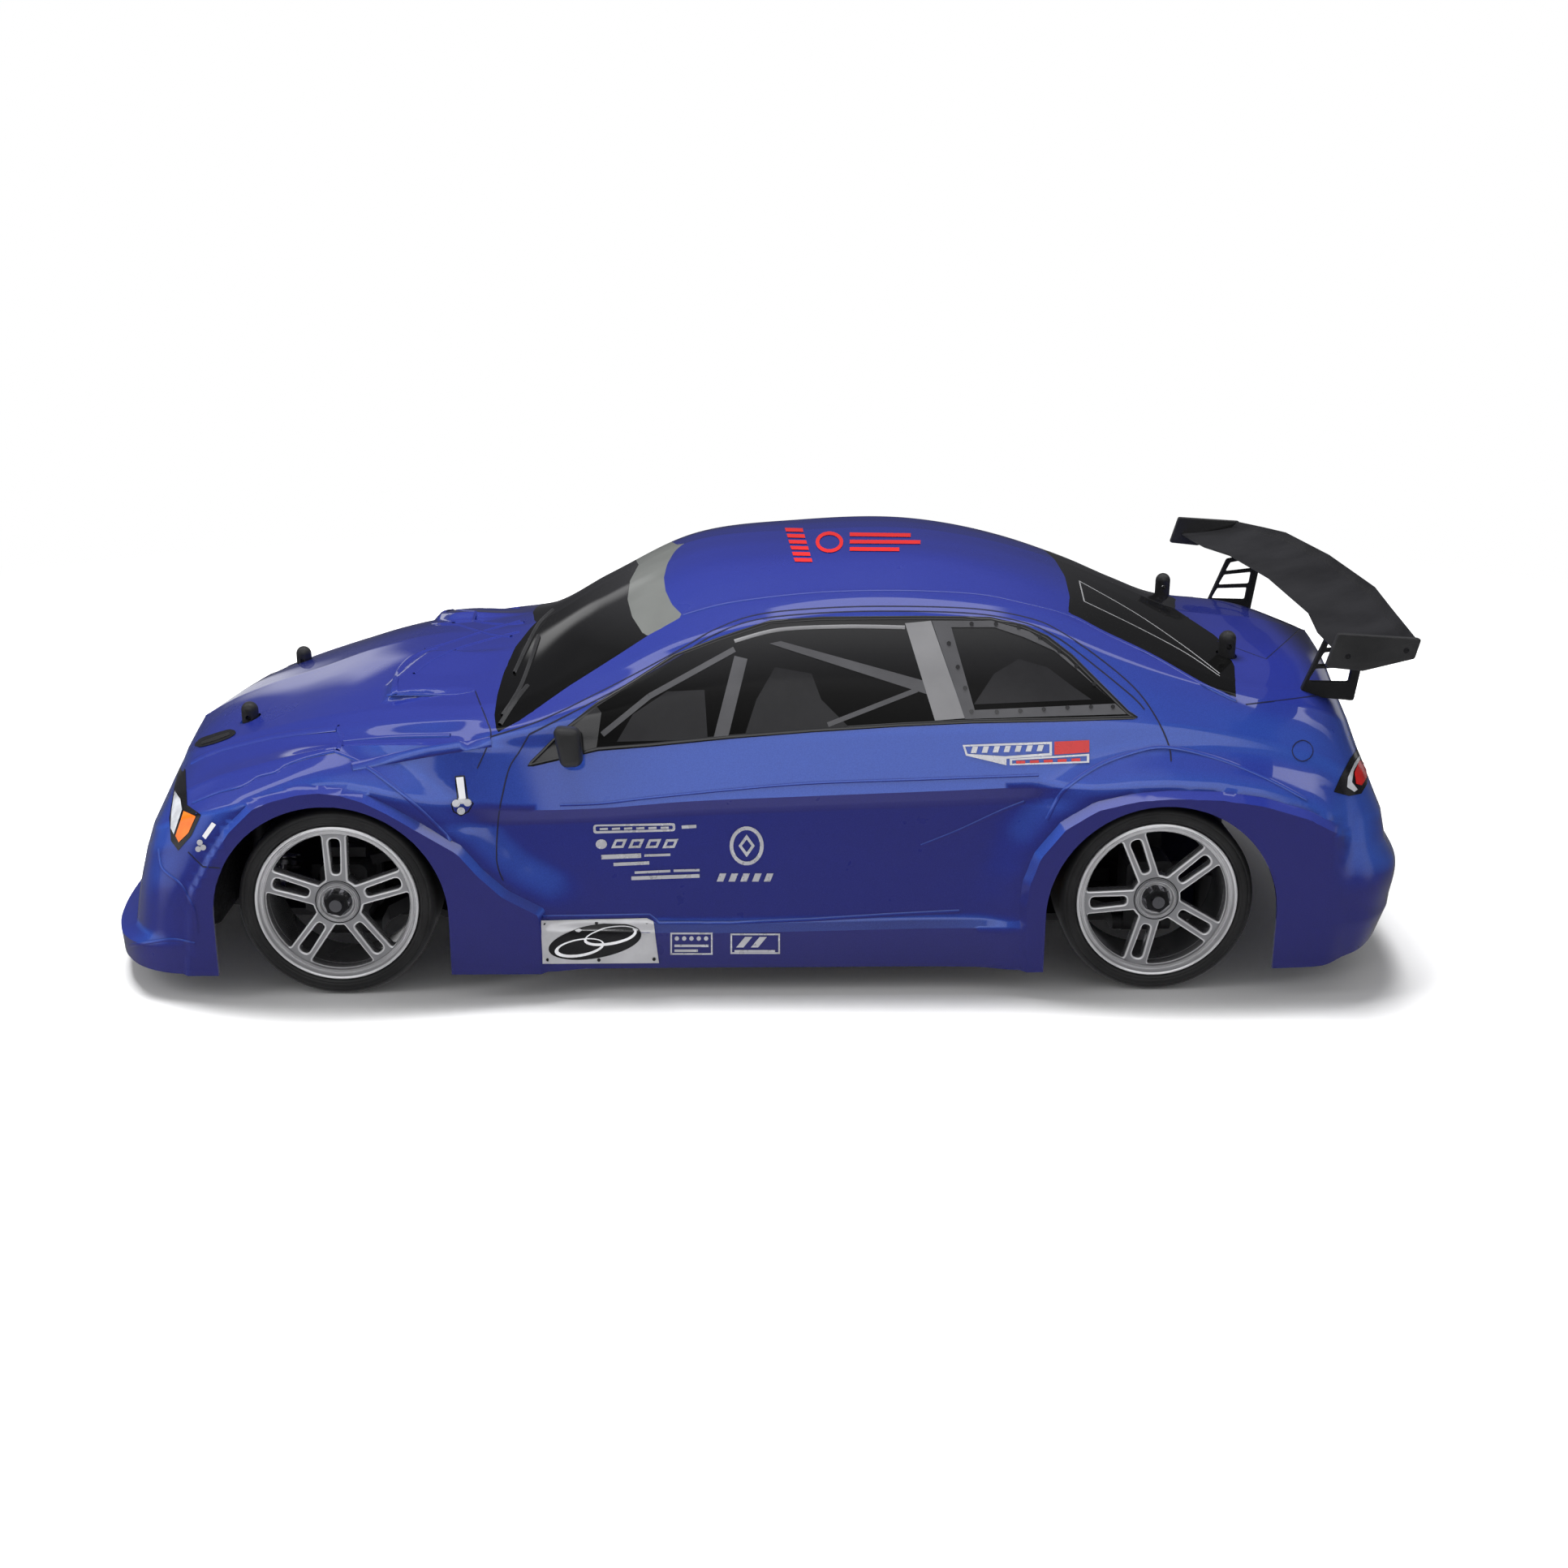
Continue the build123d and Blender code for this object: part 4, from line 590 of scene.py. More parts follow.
def smooth_poly(pts, closed=True, step=4.0):
    """Catmull-Rom through the points, resampled"""
    P = [np.array(p, float) for p in pts]
    n = len(P)
    out = []
    rng = range(n) if closed else range(n - 1)
    for i in rng:
        p0 = P[i - 1] if (closed or i > 0) else P[0]
        p1, p2 = P[i], P[(i + 1) % n]
        p3 = P[(i + 2) % n] if (closed or i + 2 < n) else P[n - 1]
        k = max(1, int(np.linalg.norm(p2 - p1) / step))
        for j in range(k):
            t = j / k
            out.append(0.5 * ((2 * p1) + (-p0 + p2) * t + (2 * p0 - 5 * p1 + 4 * p2 - p3) * t * t + (-p0 + 3 * p1 - 3 * p2 + p3) * t ** 3))
    if not closed:
        out.append(P[-1])
    return np.array(out)


def inside(poly, Q):
    poly = np.asarray(poly, float)
    Q = np.asarray(Q, float)
    x, y = Q[:, 0], Q[:, 1]
    res = np.zeros(len(Q), bool)
    n = len(poly)
    for i in range(n):
        x1, y1 = poly[i]
        x2, y2 = poly[(i + 1) % n]
        if y1 == y2:
            continue
        c = ((y1 > y) != (y2 > y)) & (x < (x2 - x1) * (y - y1) / (y2 - y1) + x1)
        res ^= c
    return res


def seg_dist(poly, Q, closed=True):
    poly = np.asarray(poly, float)
    Q = np.asarray(Q, float)
    best = np.full(len(Q), 1e9)
    n = len(poly)
    for i in range(n if closed else n - 1):
        a, b = poly[i], poly[(i + 1) % n]
        ab = b - a
        L = ab @ ab
        if L < 1e-12:
            continue
        t = np.clip(((Q - a) @ ab) / L, 0, 1)
        d = np.linalg.norm(Q - (a + t[:, None] * ab), axis=1)
        best = np.minimum(best, d)
    return best


def sdist(poly, Q):
    d = seg_dist(poly, Q)
    return np.where(inside(poly, Q), d, -d)


def cut(P, F, D, k, snap=0.10):
    """splits the triangles along D[:, k] = 0"""
    d = D[:, k].copy()
    d[np.abs(d) < snap] = 0
    D[:, k] = d
    s = np.sign(d)
    fs = s[F]
    mixed = (fs.min(1) < 0) & (fs.max(1) > 0)
    keep = F[~mixed]
    newP, newD, edge, tris = [], [], {}, []
    base = len(P)

    def mid(a, b):
        key = (a, b) if a < b else (b, a)
        if key not in edge:
            a, b = key
            t = d[a] / (d[a] - d[b])
            edge[key] = base + len(newP)
            newP.append(P[a] * (1 - t) + P[b] * t)
            row = D[a] * (1 - t) + D[b] * t
            row[k] = 0
            newD.append(row)
        return edge[key]

    for f in F[mixed]:
        a, b, c = (int(q) for q in f)
        sa, sb, sc = s[a], s[b], s[c]
        for _ in range(3):
            if sa == 0 and sb * sc < 0:
                break
            if sb == sc and sa != 0 and sb != 0:
                break
            a, b, c = b, c, a
            sa, sb, sc = sb, sc, sa
        if sa == 0:
            m = mid(b, c)
            tris += [(a, b, m), (a, m, c)]
        else:
            m1, m2 = mid(a, b), mid(a, c)
            tris += [(a, m1, m2), (m1, b, c), (m1, c, m2)]
    if newP:
        P = np.vstack([P, newP])
        D = np.vstack([D, newD])
        F = np.vstack([keep, np.array(tris, int)])
    return P, F, D


def face_in(F, D, k):
    return D[F][:, :, k].mean(1) > 1e-6


def compact(P, F):
    used = np.unique(F)
    mp = -np.ones(len(P), int)
    mp[used] = np.arange(len(used))
    return P[used], mp[F]


# ------------------------------------------------------------ traced lines
WSCREEN = [(612, 903), (609, 880), (613, 855), (621, 828), (635, 797), (655, 772), (676, 752), (700, 735), (712, 690), (740, 620),
           (880, 600), (870, 640), (850, 664), (832, 678), (822, 695), (818, 712), (820, 728), (828, 745), (842, 759),
           (800, 782), (760, 808), (700, 846), (640, 888)]
STRIP = [(842, 759), (828, 745), (820, 728), (818, 712), (822, 695), (832, 678), (850, 664), (875, 640), (835, 640), (815, 670),
         (790, 690), (776, 716), (773, 738), (779, 760), (795, 785)]
SIDEGLASS = [(652, 943), (690, 905), (735, 868), (780, 840), (830, 808), (886, 787), (950, 766), (1014, 762), (1140, 761),
             (1220, 762), (1262, 772), (1290, 785), (1320, 808), (1357, 845), (1390, 878), (1400, 884), (1300, 887),
             (1200, 889), (1110, 893), (1000, 900), (900, 908), (800, 918), (737, 923)]
REARGLASS = [(1281, 670), (1300, 690), (1312, 710), (1318, 735), (1316, 755), (1360, 778), (1420, 806), (1480, 840),
             (1523, 860), (1521, 820), (1500, 785), (1440, 745), (1415, 730), (1400, 690), (1330, 640), (1270, 650)]
FLARE_F = [(232, 1260), (236, 1190), (240, 1100), (262, 1058), (285, 1022), (315, 992), (340, 982), (370, 974), (395, 972),
           (420, 975), (450, 984), (480, 998), (520, 1020), (565, 1045), (592, 1075), (622, 1100), (665, 1121), (668, 1150), (668, 1260)]
FLARE_R = [(1263, 1260), (1263, 1110), (1266, 1085), (1280, 1050), (1310, 1015), (1350, 992), (1400, 981), (1440, 978),
           (1500, 979), (1550, 985), (1605, 1000), (1650, 1023), (1690, 1048), (1716, 1060), (1716, 1100), (1700, 1140), (1690, 1260)]
ARCH_F = (131.0, 27.9, 36.7)
ARCH_R = (-130.4, 27.5, 36.7)


def arch_d(P, a):
    cx, cz, R = a
    dx, dz = P[:, 0] - cx, P[:, 2] - cz
    d1 = R - np.hypot(dx, dz)
    # below the centre the opening runs straight down
    d2 = R - np.abs(dx)
    return np.where(dz > 0, d1, d2)


# ------------------------------------------------------------- body shell
def body_grid(step):
    V, tv, tu = surface(step)
    nv, nu, _ = V.shape
    idx = np.arange(nv * nu).reshape(nv, nu)
    a, b, c, d = idx[:-1, :-1].ravel(), idx[:-1, 1:].ravel(), idx[1:, 1:].ravel(), idx[1:, :-1].ravel()
    P = V.reshape(-1, 3).copy()
    d1 = np.linalg.norm(P[a] - P[c], axis=1)
    d2 = np.linalg.norm(P[b] - P[d], axis=1)
    pick = d1 <= d2
    F = np.vstack([np.stack([a, b, c], 1)[pick], np.stack([a, c, d], 1)[pick],
                   np.stack([a, b, d], 1)[~pick], np.stack([b, c, d], 1)[~pick]])
    return P, F


def smooth01(t):
    t = np.clip(t, 0, 1)
    return t * t * (3 - 2 * t)


def scoops(P):
    """two raised intakes on the rear half of the bonnet; heights in mm added to z"""
    x, y = P[:, 0], P[:, 1]
    yc = 45.5
    # the mouth line runs forward towards the outside
    xf = np.interp(y, [27, 36, 50, 63.6], [109.5, 113.5, 118.5, 117.5])
    up = smooth01((xf + 1.5 - x) / 4.5)
    back = 1 - smooth01((xf - x - 4) / 30.0)
    side = smooth01((y - 26.5) / 4.0) * (1 - smooth01((y - 62.0) / 2.0))
    top = P[:, 2] > 81
    return np.where(top, 2.5 * up * back * side, 0)


P, F = body_grid(2.3)
front_half = P[:, 0] > 0
VP = to_view(P * MM)
side_zone = P[:, 1] > 70
cols = []
# 0, 1 wheel openings
cols.append(np.where(side_zone & (P[:, 2] < 75), arch_d(P, ARCH_F), -50))
cols.append(np.where(side_zone & (P[:, 2] < 75), arch_d(P, ARCH_R), -50))
# 2, 3 flares, in mm
cols.append(np.where((P[:, 1] > 60) & (P[:, 0] > 40), sdist(FLARE_F, VP) * 0.25, -50))
cols.append(np.where((P[:, 1] > 60) & (P[:, 0] < -40), sdist(FLARE_R, VP) * 0.25, -50))
# 4 windscreen, 5 sun strip, 6 side glass, 7 rear glass
up = P[:, 2] > 60
cols.append(np.where(up, sdist(WSCREEN, VP) * 0.28, -50))
cols.append(np.where(up, sdist(STRIP, VP) * 0.28, -50))
cols.append(np.where(up, sdist(SIDEGLASS, VP) * 0.26, -50))
cols.append(np.where(up, sdist(REARGLASS, VP) * 0.28, -50))
# 8 front post hole, 9 rear post hole
cols.append(3.5 - np.hypot(P[:, 0] - 167.4, P[:, 1] - 40.4))
cols.append(3.5 - np.hypot(P[:, 0] + 158.8, P[:, 1] - 49.3))
D = np.stack(cols, 1)


def refine(m):
    """splits the marked triangles in four, and closes the cracks to their neighbours"""
    global P, F, D
    T = F[m]
    E, newP, newD, tris = {}, [], [], []
    base = len(P)

    def mp_(a, b):
        key = (a, b) if a < b else (b, a)
        if key not in E:
            E[key] = base + len(newP)
            newP.append((P[a] + P[b]) / 2)
            newD.append((D[a] + D[b]) / 2)
        return E[key]

    for a, b, c in T:
        a, b, c = int(a), int(b), int(c)
        ab, bc, ca = mp_(a, b), mp_(b, c), mp_(c, a)
        tris += [(a, ab, ca), (ab, b, bc), (ca, bc, c), (ab, bc, ca)]
    rest = []
    for a, b, c in F[~m]:
        a, b, c = int(a), int(b), int(c)
        e = [E.get((min(p_, q_), max(p_, q_))) for p_, q_ in ((a, b), (b, c), (c, a))]
        k = sum(x is not None for x in e)
        if k == 0:
            rest.append((a, b, c))
        elif k == 3:
            rest += [(a, e[0], e[2]), (e[0], b, e[1]), (e[2], e[1], c), (e[0], e[1], e[2])]
        else:
            poly = [a] + ([e[0]] if e[0] is not None else []) + [b] + ([e[1]] if e[1] is not None else []) + [c] + ([e[2]] if e[2] is not None else [])
            # fan from a split point so that no sliver appears
            st = next(i_ for i_, v_ in enumerate(poly) if v_ >= base)
            poly = poly[st:] + poly[:st]
            rest += [(poly[0], poly[i_], poly[i_ + 1]) for i_ in range(1, len(poly) - 1)]
    P = np.vstack([P, newP])
    D = np.vstack([D, newD])
    F = np.vstack([np.array(rest, int), np.array(tris, int)])


for cx, cy, kcol in ((167.4, 40.4, 8), (-158.8, 49.3, 9)):
    for rad in (9, 6):
        C = P[F].mean(1)
        refine((np.hypot(C[:, 0] - cx, C[:, 1] - cy) < rad) & (C[:, 2] > 60))
        D[:, kcol] = 3.5 - np.hypot(P[:, 0] - cx, P[:, 1] - cy)
C = P[F].mean(1)
refine((C[:, 0] > 98) & (C[:, 0] < 123) & (C[:, 1] > 20) & (C[:, 1] < 68) & (C[:, 2] > 80))
# flare foot lines need their own cut: 10, 11
FOOT = 2.0
D = np.hstack([D, D[:, 2:3] + FOOT, D[:, 3:4] + FOOT])
for k in (0, 1, 2, 3, 10, 11, 4, 5, 6, 7, 8, 9):
    P, F, D = cut(P, F, D, k, 0.02 if k in (8, 9) else 0.12)


def flare_push(d):
    a = np.where(d >= 0, 1.0, np.where(d > -FOOT, 1 + d / FOOT * 0.5, 0.0))
    tail = 0.5 * (1 - smooth01((-d - FOOT) / 13.0))
    return np.where(d > -FOOT, a, tail)


y = P[:, 1].copy()
zlim = P[:, 2] < 84
for k, target in ((2, 101.3), (3, 102.2)):
    amt = flare_push(D[:, k]) * np.maximum(0, target - y)
    amt = np.where((D[:, k] > -40) & zlim & (y > 78), amt, 0)
    amt *= 1 - smooth01((-182 - P[:, 0]) / 10.0)
    P[:, 1] += amt
P[:, 2] += scoops(P)

inh = [face_in(F, D, k) for k in range(10)]
hole = inh[0] | inh[1] | inh[8] | inh[9]
strip = inh[5] & ~hole
wind = inh[4] & ~inh[5] & ~hole
side = inh[6] & ~hole
rear = inh[7] & ~hole
paint = ~(hole | strip | wind | side | rear)

# full body surface for casting rays, with smooth vertex normals
solid = F[~hole]
fn = np.cross(P[solid[:, 1]] - P[solid[:, 0]], P[solid[:, 2]] - P[solid[:, 0]])
VN = np.zeros_like(P)
for q in range(3):
    np.add.at(VN, solid[:, q], fn)
on = np.abs(P[:, 1]) < 1e-6
VN[on, 1] = 0
VN /= np.maximum(np.linalg.norm(VN, axis=1), 1e-12)[:, None]
nP = len(P)
PB = np.vstack([P, P * [1, -1, 1]]) * MM
NB = np.vstack([VN, VN * [1, -1, 1]])
FB = np.vstack([solid, solid[:, ::-1] + nP])
TREE = BVHTree.FromPolygons([tuple(v) for v in PB], [tuple(int(i) for i in f) for f in FB])


def interp_normal(i, p):
    a, b, c = (PB[q] for q in FB[i])
    v0, v1, v2 = b - a, c - a, np.array(p) - a
    d00, d01, d11, d20, d21 = v0 @ v0, v0 @ v1, v1 @ v1, v2 @ v0, v2 @ v1
    den = d00 * d11 - d01 * d01
    if abs(den) < 1e-20:
        return NB[FB[i][0]]
    v = (d11 * d20 - d01 * d21) / den
    w = (d00 * d21 - d01 * d20) / den
    n = (1 - v - w) * NB[FB[i][0]] + v * NB[FB[i][1]] + w * NB[FB[i][2]]
    return n / max(np.linalg.norm(n), 1e-12)


def cast(p):
    d = view_dir(p)
    loc, nor, i, dist = TREE.ray_cast(Vector(CAM_POS), Vector(d))
    if loc is None:
        return None
    return np.array(loc), interp_normal(i, loc)


def cast_near(p, tries=6):
    """cast, stepping towards the middle of the car if the point misses"""
    h = cast(p)
    c = np.array([966.0, 950.0])
    q = np.array(p, float)
    for _ in range(tries):
        if h is not None:
            break
        q = q + (c - q) / np.linalg.norm(c - q) * 1.5
        h = cast(q)
    return h


def shell_piece(name, mask, mats, thick=1.1, body="body"):
    p, f = compact(P * MM, F[mask])
    V2, F2 = mirrored(p, f.tolist(), 2e-6)
    ob = mesh_from(name, V2, F2, mats=mats, sharp=None)
    if thick:
        m = ob.modifiers.new("s", "SOLIDIFY")
        m.thickness = thick * MM
        m.offset = -1
        m.use_rim = True
        m.material_offset = 1 if len(mats) > 1 else 0
        m.material_offset_rim = 0
        apply_mods(ob)
    ob.data.shade_smooth()
    ob.data.set_sharp_from_angle(angle=math.radians(40))
    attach(ob, body)
    return ob


shell = shell_piece("body_paint_shell", paint, ("paint_blue", "paint_inside"), 1.1)
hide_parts("body_shell")
shell_piece("windscreen", wind, ("glass_windscreen", "black_satin"), 1.0)
shell_piece("sun_strip", strip, ("decal_grey", "black_satin"), 1.0)
shell_piece("side_windows", side, ("glass_side", "black_satin"), 1.0)
shell_piece("rear_window", rear, ("glass_rear", "black_satin"), 1.0)


# ------------------------------------------- conformal patches and ribbons
class Group:
    """meshes gathered under one name"""

    def __init__(self, name, mat, mirror=True):
        self.name, self.mat, self.mirror = name, mat, mirror
        self.V, self.F, self.Nn = [], [], []

    def add(self, V, F, Nn):
        b = len(self.V)
        self.V += [tuple(v) for v in V]
        self.Nn += [tuple(n) for n in Nn]
        self.F += [[b + i for i in f] for f in F]

    def done(self):
        if not self.F:
            return None
        V, F, Nn = np.array(self.V), self.F, np.array(self.Nn)
        if self.mirror:
            n = len(V)
            V = np.vstack([V, V * [1, -1, 1]])
            Nn = np.vstack([Nn, Nn * [1, -1, 1]])
            F = F + [[n + i for i in reversed(f)] for f in F]
        return mesh_from(self.name, V, F, mats=(self.mat,), normals=Nn, body="body")


def patch(g, poly, holes=(), off=0.12, step=6.0, bulge=0.0, smooth=False, near_only=False):
    """flat art laid on the surface; poly is in view coordinates"""
    if smooth:
        poly = smooth_poly(poly, True, step)
    pts, edges = [], []

    def ring(lp):
        lp = [np.array(p, float) for p in lp]
        s = len(pts)
        for i in range(len(lp)):
            a, b = lp[i], lp[(i + 1) % len(lp)]
            k = max(1, int(np.linalg.norm(b - a) / step))
            for j in range(k):
                pts.append(a + (b - a) * j / k)
        e = len(pts)
        for i in range(s, e):
            edges.append((i, i + 1 if i + 1 < e else s))
    ring(poly)
    for h in holes:
        ring(h)
    A = np.array(pts)
    lo, hi = A.min(0), A.max(0)
    gx, gy = np.meshgrid(np.arange(lo[0] + step / 2, hi[0], step), np.arange(lo[1] + step / 2, hi[1], step))
    G = np.stack([gx.ravel(), gy.ravel()], 1)
    if len(G):
        ok = inside(poly, G) & (seg_dist(poly, G) > step * 0.5)
        for h in holes:
            ok &= ~inside(h, G) & (seg_dist(h, G) > step * 0.5)
        G = G[ok]
        pts += list(G)
    vs, es, fs, *_ = delaunay_2d_cdt([Vector((float(p[0]), float(p[1]))) for p in pts], edges, [], 0, 1e-5)
    Q = np.array([(v.x, v.y) for v in vs])
    tri = [list(f) for f in fs]
    cen = np.array([Q[f].mean(0) for f in tri])
    ok = inside(poly, cen)
    for h in holes:
        ok &= ~inside(h, cen)
    tri = [f for f, o in zip(tri, ok) if o]
    V, Nn, good = [], [], []
    ed = seg_dist(poly, Q) if bulge else None
    for i, q in enumerate(Q):
        h = cast_near(q)
        if h is None:
            V.append((0, 0, 0)); Nn.append((0, 0, 1)); good.append(False)
            continue
        b = off
        if bulge:
            b += bulge * float(smooth01(ed[i] / 8.0))
        V.append(h[0] + h[1] * b * MM)
        Nn.append(h[1])
        good.append(not (near_only and h[0][1] < 0))
    F_ = []
    for f in tri:
        if not all(good[i] for i in f):
            continue
        a, b, c = (np.array(V[i]) for i in f[:3])
        if np.cross(b - a, c - a) @ np.array(Nn[f[0]]) < 0:
            f = f[::-1]
        F_.append(f)
    g.add(V, F_, Nn)


def ribbon(g, pts, width, off=0.10, closed=False, smooth=True, step=4.0, low=0.02):
    pts = smooth_poly(pts, closed, step) if smooth else np.array(pts, float)
    if not smooth:
        out = []
        n = len(pts)
        for i in range(n if closed else n - 1):
            a, b = pts[i], pts[(i + 1) % n]
            k = max(1, int(np.linalg.norm(b - a) / step))
            out += [a + (b - a) * j / k for j in range(k)]
        if not closed:
            out.append(pts[-1])
        pts = np.array(out)
    H = [cast_near(p) for p in pts]
    H = [h for h in H if h is not None]
    n = len(H)
    if n < 2:
        return
    V, Nn, F_ = [], [], []
    for i in range(n):
        p, nn = H[i]
        if closed:
            t = H[(i + 1) % n][0] - H[i - 1][0]
        else:
            t = H[min(i + 1, n - 1)][0] - H[max(i - 1, 0)][0]
        t = t / max(np.linalg.norm(t), 1e-12)
        s = np.cross(nn, t)
        s /= max(np.linalg.norm(s), 1e-12)
        w = width / 2 * MM
        for du, h, tilt in ((-1, low, -0.5), (-0.55, off, -0.15), (0.55, off, 0.15), (1, low, 0.5)):
            V.append(p + s * du * w + nn * h * MM)
            q = nn + s * tilt
            Nn.append(q / np.linalg.norm(q))
    for i in range(n if closed else n - 1):
        j = (i + 1) % n
        for q in range(3):
            F_.append([i * 4 + q, j * 4 + q, j * 4 + q + 1, i * 4 + q + 1])
    # orient outwards
    a, b, c = (np.array(V[k]) for k in F_[0][:3])
    if np.cross(b - a, c - a) @ np.array(Nn[1]) < 0:
        F_ = [f[::-1] for f in F_]
    g.add(V, F_, Nn)


def disc_px(c, rx, ry=None, n=24, rot=0.0):
    ry = ry or rx
    cr, sr = math.cos(rot), math.sin(rot)
    return [(c[0] + rx * math.cos(a) * cr - ry * math.sin(a) * sr, c[1] + rx * math.cos(a) * sr + ry * math.sin(a) * cr)
            for a in np.linspace(0, 2 * math.pi, n, endpoint=False)]


def bar(a, b, w):
    """a rectangle along a-b of width w, in view coordinates"""
    a, b = np.array(a, float), np.array(b, float)
    t = (b - a) / np.linalg.norm(b - a)
    n = np.array([-t[1], t[0]]) * w / 2
    return [tuple(a + n), tuple(b + n), tuple(b - n), tuple(a - n)]


# panel gaps and drip rails
g = Group("panel_lines", "seam")
L1 = [(590, 912), (665, 888), (740, 852), (800, 821), (840, 799), (880, 776), (930, 758), (1000, 750), (1090, 747), (1200, 750), (1270, 762),
      (1310, 780), (1360, 815), (1400, 850), (1425, 885), (1440, 918), (1443, 938)]
L2 = [(652, 905), (740, 860), (800, 829), (840, 806), (880, 782), (930, 764), (1000, 756), (1090, 753), (1200, 756), (1265, 768),
      (1305, 787), (1350, 821), (1395, 858), (1410, 874)]
ribbon(g, L1, 0.55)
ribbon(g, L2, 0.55)
ribbon(g, [(585, 850), (592, 868), (600, 888), (605, 905), (598, 925), (588, 947)], 0.45)
ribbon(g, [(652, 905), (640, 926), (628, 945), (620, 975), (614, 1010), (612, 1060), (620, 1085)], 0.45)
ribbon(g, [(232, 1050), (250, 1068), (275, 1070)], 0.5, smooth=False)
ribbon(g, [(1592, 925), (1596, 916), (1605, 912), (1614, 916), (1618, 925), (1614, 934), (1605, 938), (1596, 934)], 0.35, closed=True)
ribbon(g, [(1500, 790), (1560, 812), (1602, 775)], 0.4, smooth=False)
ribbon(g, [(1535, 868), (1600, 860), (1655, 852)], 0.45)
g.done()

# raised creases pressed into the shell
g = Group("shell_creases", "paint_blue")
ribbon(g, [(238, 938), (270, 924), (330, 909), (380, 901), (416, 897)], 3.6, off=0.55)
ribbon(g, [(416, 897), (421, 908), (416, 924)], 1.6, off=0.5)
ribbon(g, [(424, 912), (480, 908), (555, 906)], 1.5, off=0.4)
ribbon(g, [(434, 944), (480, 935), (540, 924), (605, 914)], 3.4, off=0.5)
ribbon(g, [(238, 988), (270, 975), (300, 967), (318, 956), (340, 950), (352, 942), (380, 932), (412, 925)], 1.6, off=0.55)
ribbon(g, [(412, 925), (445, 940), (480, 965), (520, 1000), (556, 1036)], 1.2, off=0.35)
ribbon(g, [(842, 757), (900, 742), (1000, 730), (1100, 727), (1200, 731), (1260, 742), (1316, 757), (1360, 779), (1420, 808), (1480, 842), (1523, 863)], 1.3, off=0.35)
ribbon(g, [(1290, 1010), (1310, 975), (1350, 945), (1400, 926), (1440, 921), (1500, 934), (1560, 958), (1610, 985)], 1.3, off=0.3)
ribbon(g, [(690, 992), (740, 990), (800, 983), (900, 973), (1000, 965), (1140, 960), (1280, 955)], 0.9, off=0.2)
ribbon(g, [(1135, 1042), (1180, 1024), (1232, 1000), (1262, 988)], 1.0, off=0.3)
ribbon(g, [(668, 1130), (800, 1128), (812, 1137), (900, 1137), (1000, 1133), (1100, 1127), (1182, 1123)], 1.3, off=0.45, smooth=False)
ribbon(g, [(524, 800), (560, 789), (600, 776), (640, 765)], 1.6, off=0.4)
ribbon(g, [(487, 856), (486, 842), (491, 828), (501, 815), (516, 805), (538, 798)], 2.4, off=0.5)
ribbon(g, [(510, 830), (530, 815), (560, 800), (600, 788), (640, 778)], 1.2, off=0.4)
ribbon(g, [(478, 856), (520, 856), (560, 855), (586, 851)], 1.0, off=0.35)
ribbon(g, [(195, 1046), (200, 1070), (222, 1090), (238, 1120), (243, 1150)], 1.2, off=0.4)
ribbon(g, [(160, 1165), (190, 1160), (215, 1158), (240, 1163)], 1.2, off=0.4)
g.done()

# window trim
g = Group("window_trim", "black_gloss")
ribbon(g, SIDEGLASS, 1.3, off=0.16, closed=True, smooth=False)
g.done()
g = Group("quarter_shade", "black_gloss")
patch(g, [(655, 940), (690, 906), (735, 870), (741, 878), (735, 921), (700, 930)], off=0.09)
g.done()

# printed cage behind the side glass
g = Group("cage_seats", "cage_dark")
patch(g, [(760, 914), (780, 880), (822, 852), (868, 850), (872, 911)], off=0.05)
patch(g, [(918, 905), (932, 862), (955, 822), (1000, 830), (1012, 862), (1045, 895)], off=0.05)
patch(g, [(1200, 868), (1225, 830), (1255, 812), (1290, 822), (1322, 846), (1345, 862)], off=0.05)
g.done()
g = Group("cage_braces", "cage_mid")
patch(g, [(905, 808), (921, 812), (897, 909), (879, 910)], off=0.08)
patch(g, [(948, 793), (962, 790), (1150, 842), (1150, 858)], off=0.08)
patch(g, bar((742, 905), (800, 858), 7), off=0.07)
patch(g, bar((800, 858), (905, 800), 7), off=0.07)
patch(g, bar((1020, 893), (1130, 850), 6), off=0.07)
g.done()
g = Group("cage_pillar", "cage_light")
patch(g, [(1115, 768), (1147, 765), (1189, 885), (1152, 888)], off=0.11)
ribbon(g, [(905, 790), (960, 776), (1040, 772), (1115, 773)], 1.3, off=0.11)
g.done()
g = Group("quarter_border", "cage_mid")
QO = [(1148, 765), (1222, 765), (1268, 778), (1314, 810), (1353, 848), (1388, 880), (1189, 886)]
QI = [(1172, 773), (1225, 773), (1261, 785), (1299, 802), (1330, 828), (1374, 867), (1201, 875)]
patch(g, QO, [QI], off=0.13, step=5)
g.done()
g = Group("border_rivets", "decal_black")
for c in [(1169, 793), (1180, 822), (1189, 848), (1197, 877), (1228, 877), (1257, 876), (1286, 874), (1315, 872), (1344, 871), (1371, 871),
          (1348, 843), (1326, 821), (1305, 802), (1281, 785), (1255, 773), (1227, 769), (1197, 769)]:
    patch(g, disc_px(c, 2.6, n=12), off=0.3, step=6)
g.done()

# rear window: two light defroster edges
g = Group("rear_window_lines", "cage_light")
ribbon(g, [(1330, 716), (1400, 756), (1460, 797), (1503, 830)], 0.5, smooth=True)
ribbon(g, [(1336, 741), (1400, 772), (1460, 804), (1503, 833)], 0.5, smooth=True)
ribbon(g, [(1330, 716), (1336, 741)], 0.5, smooth=False)
g.done()

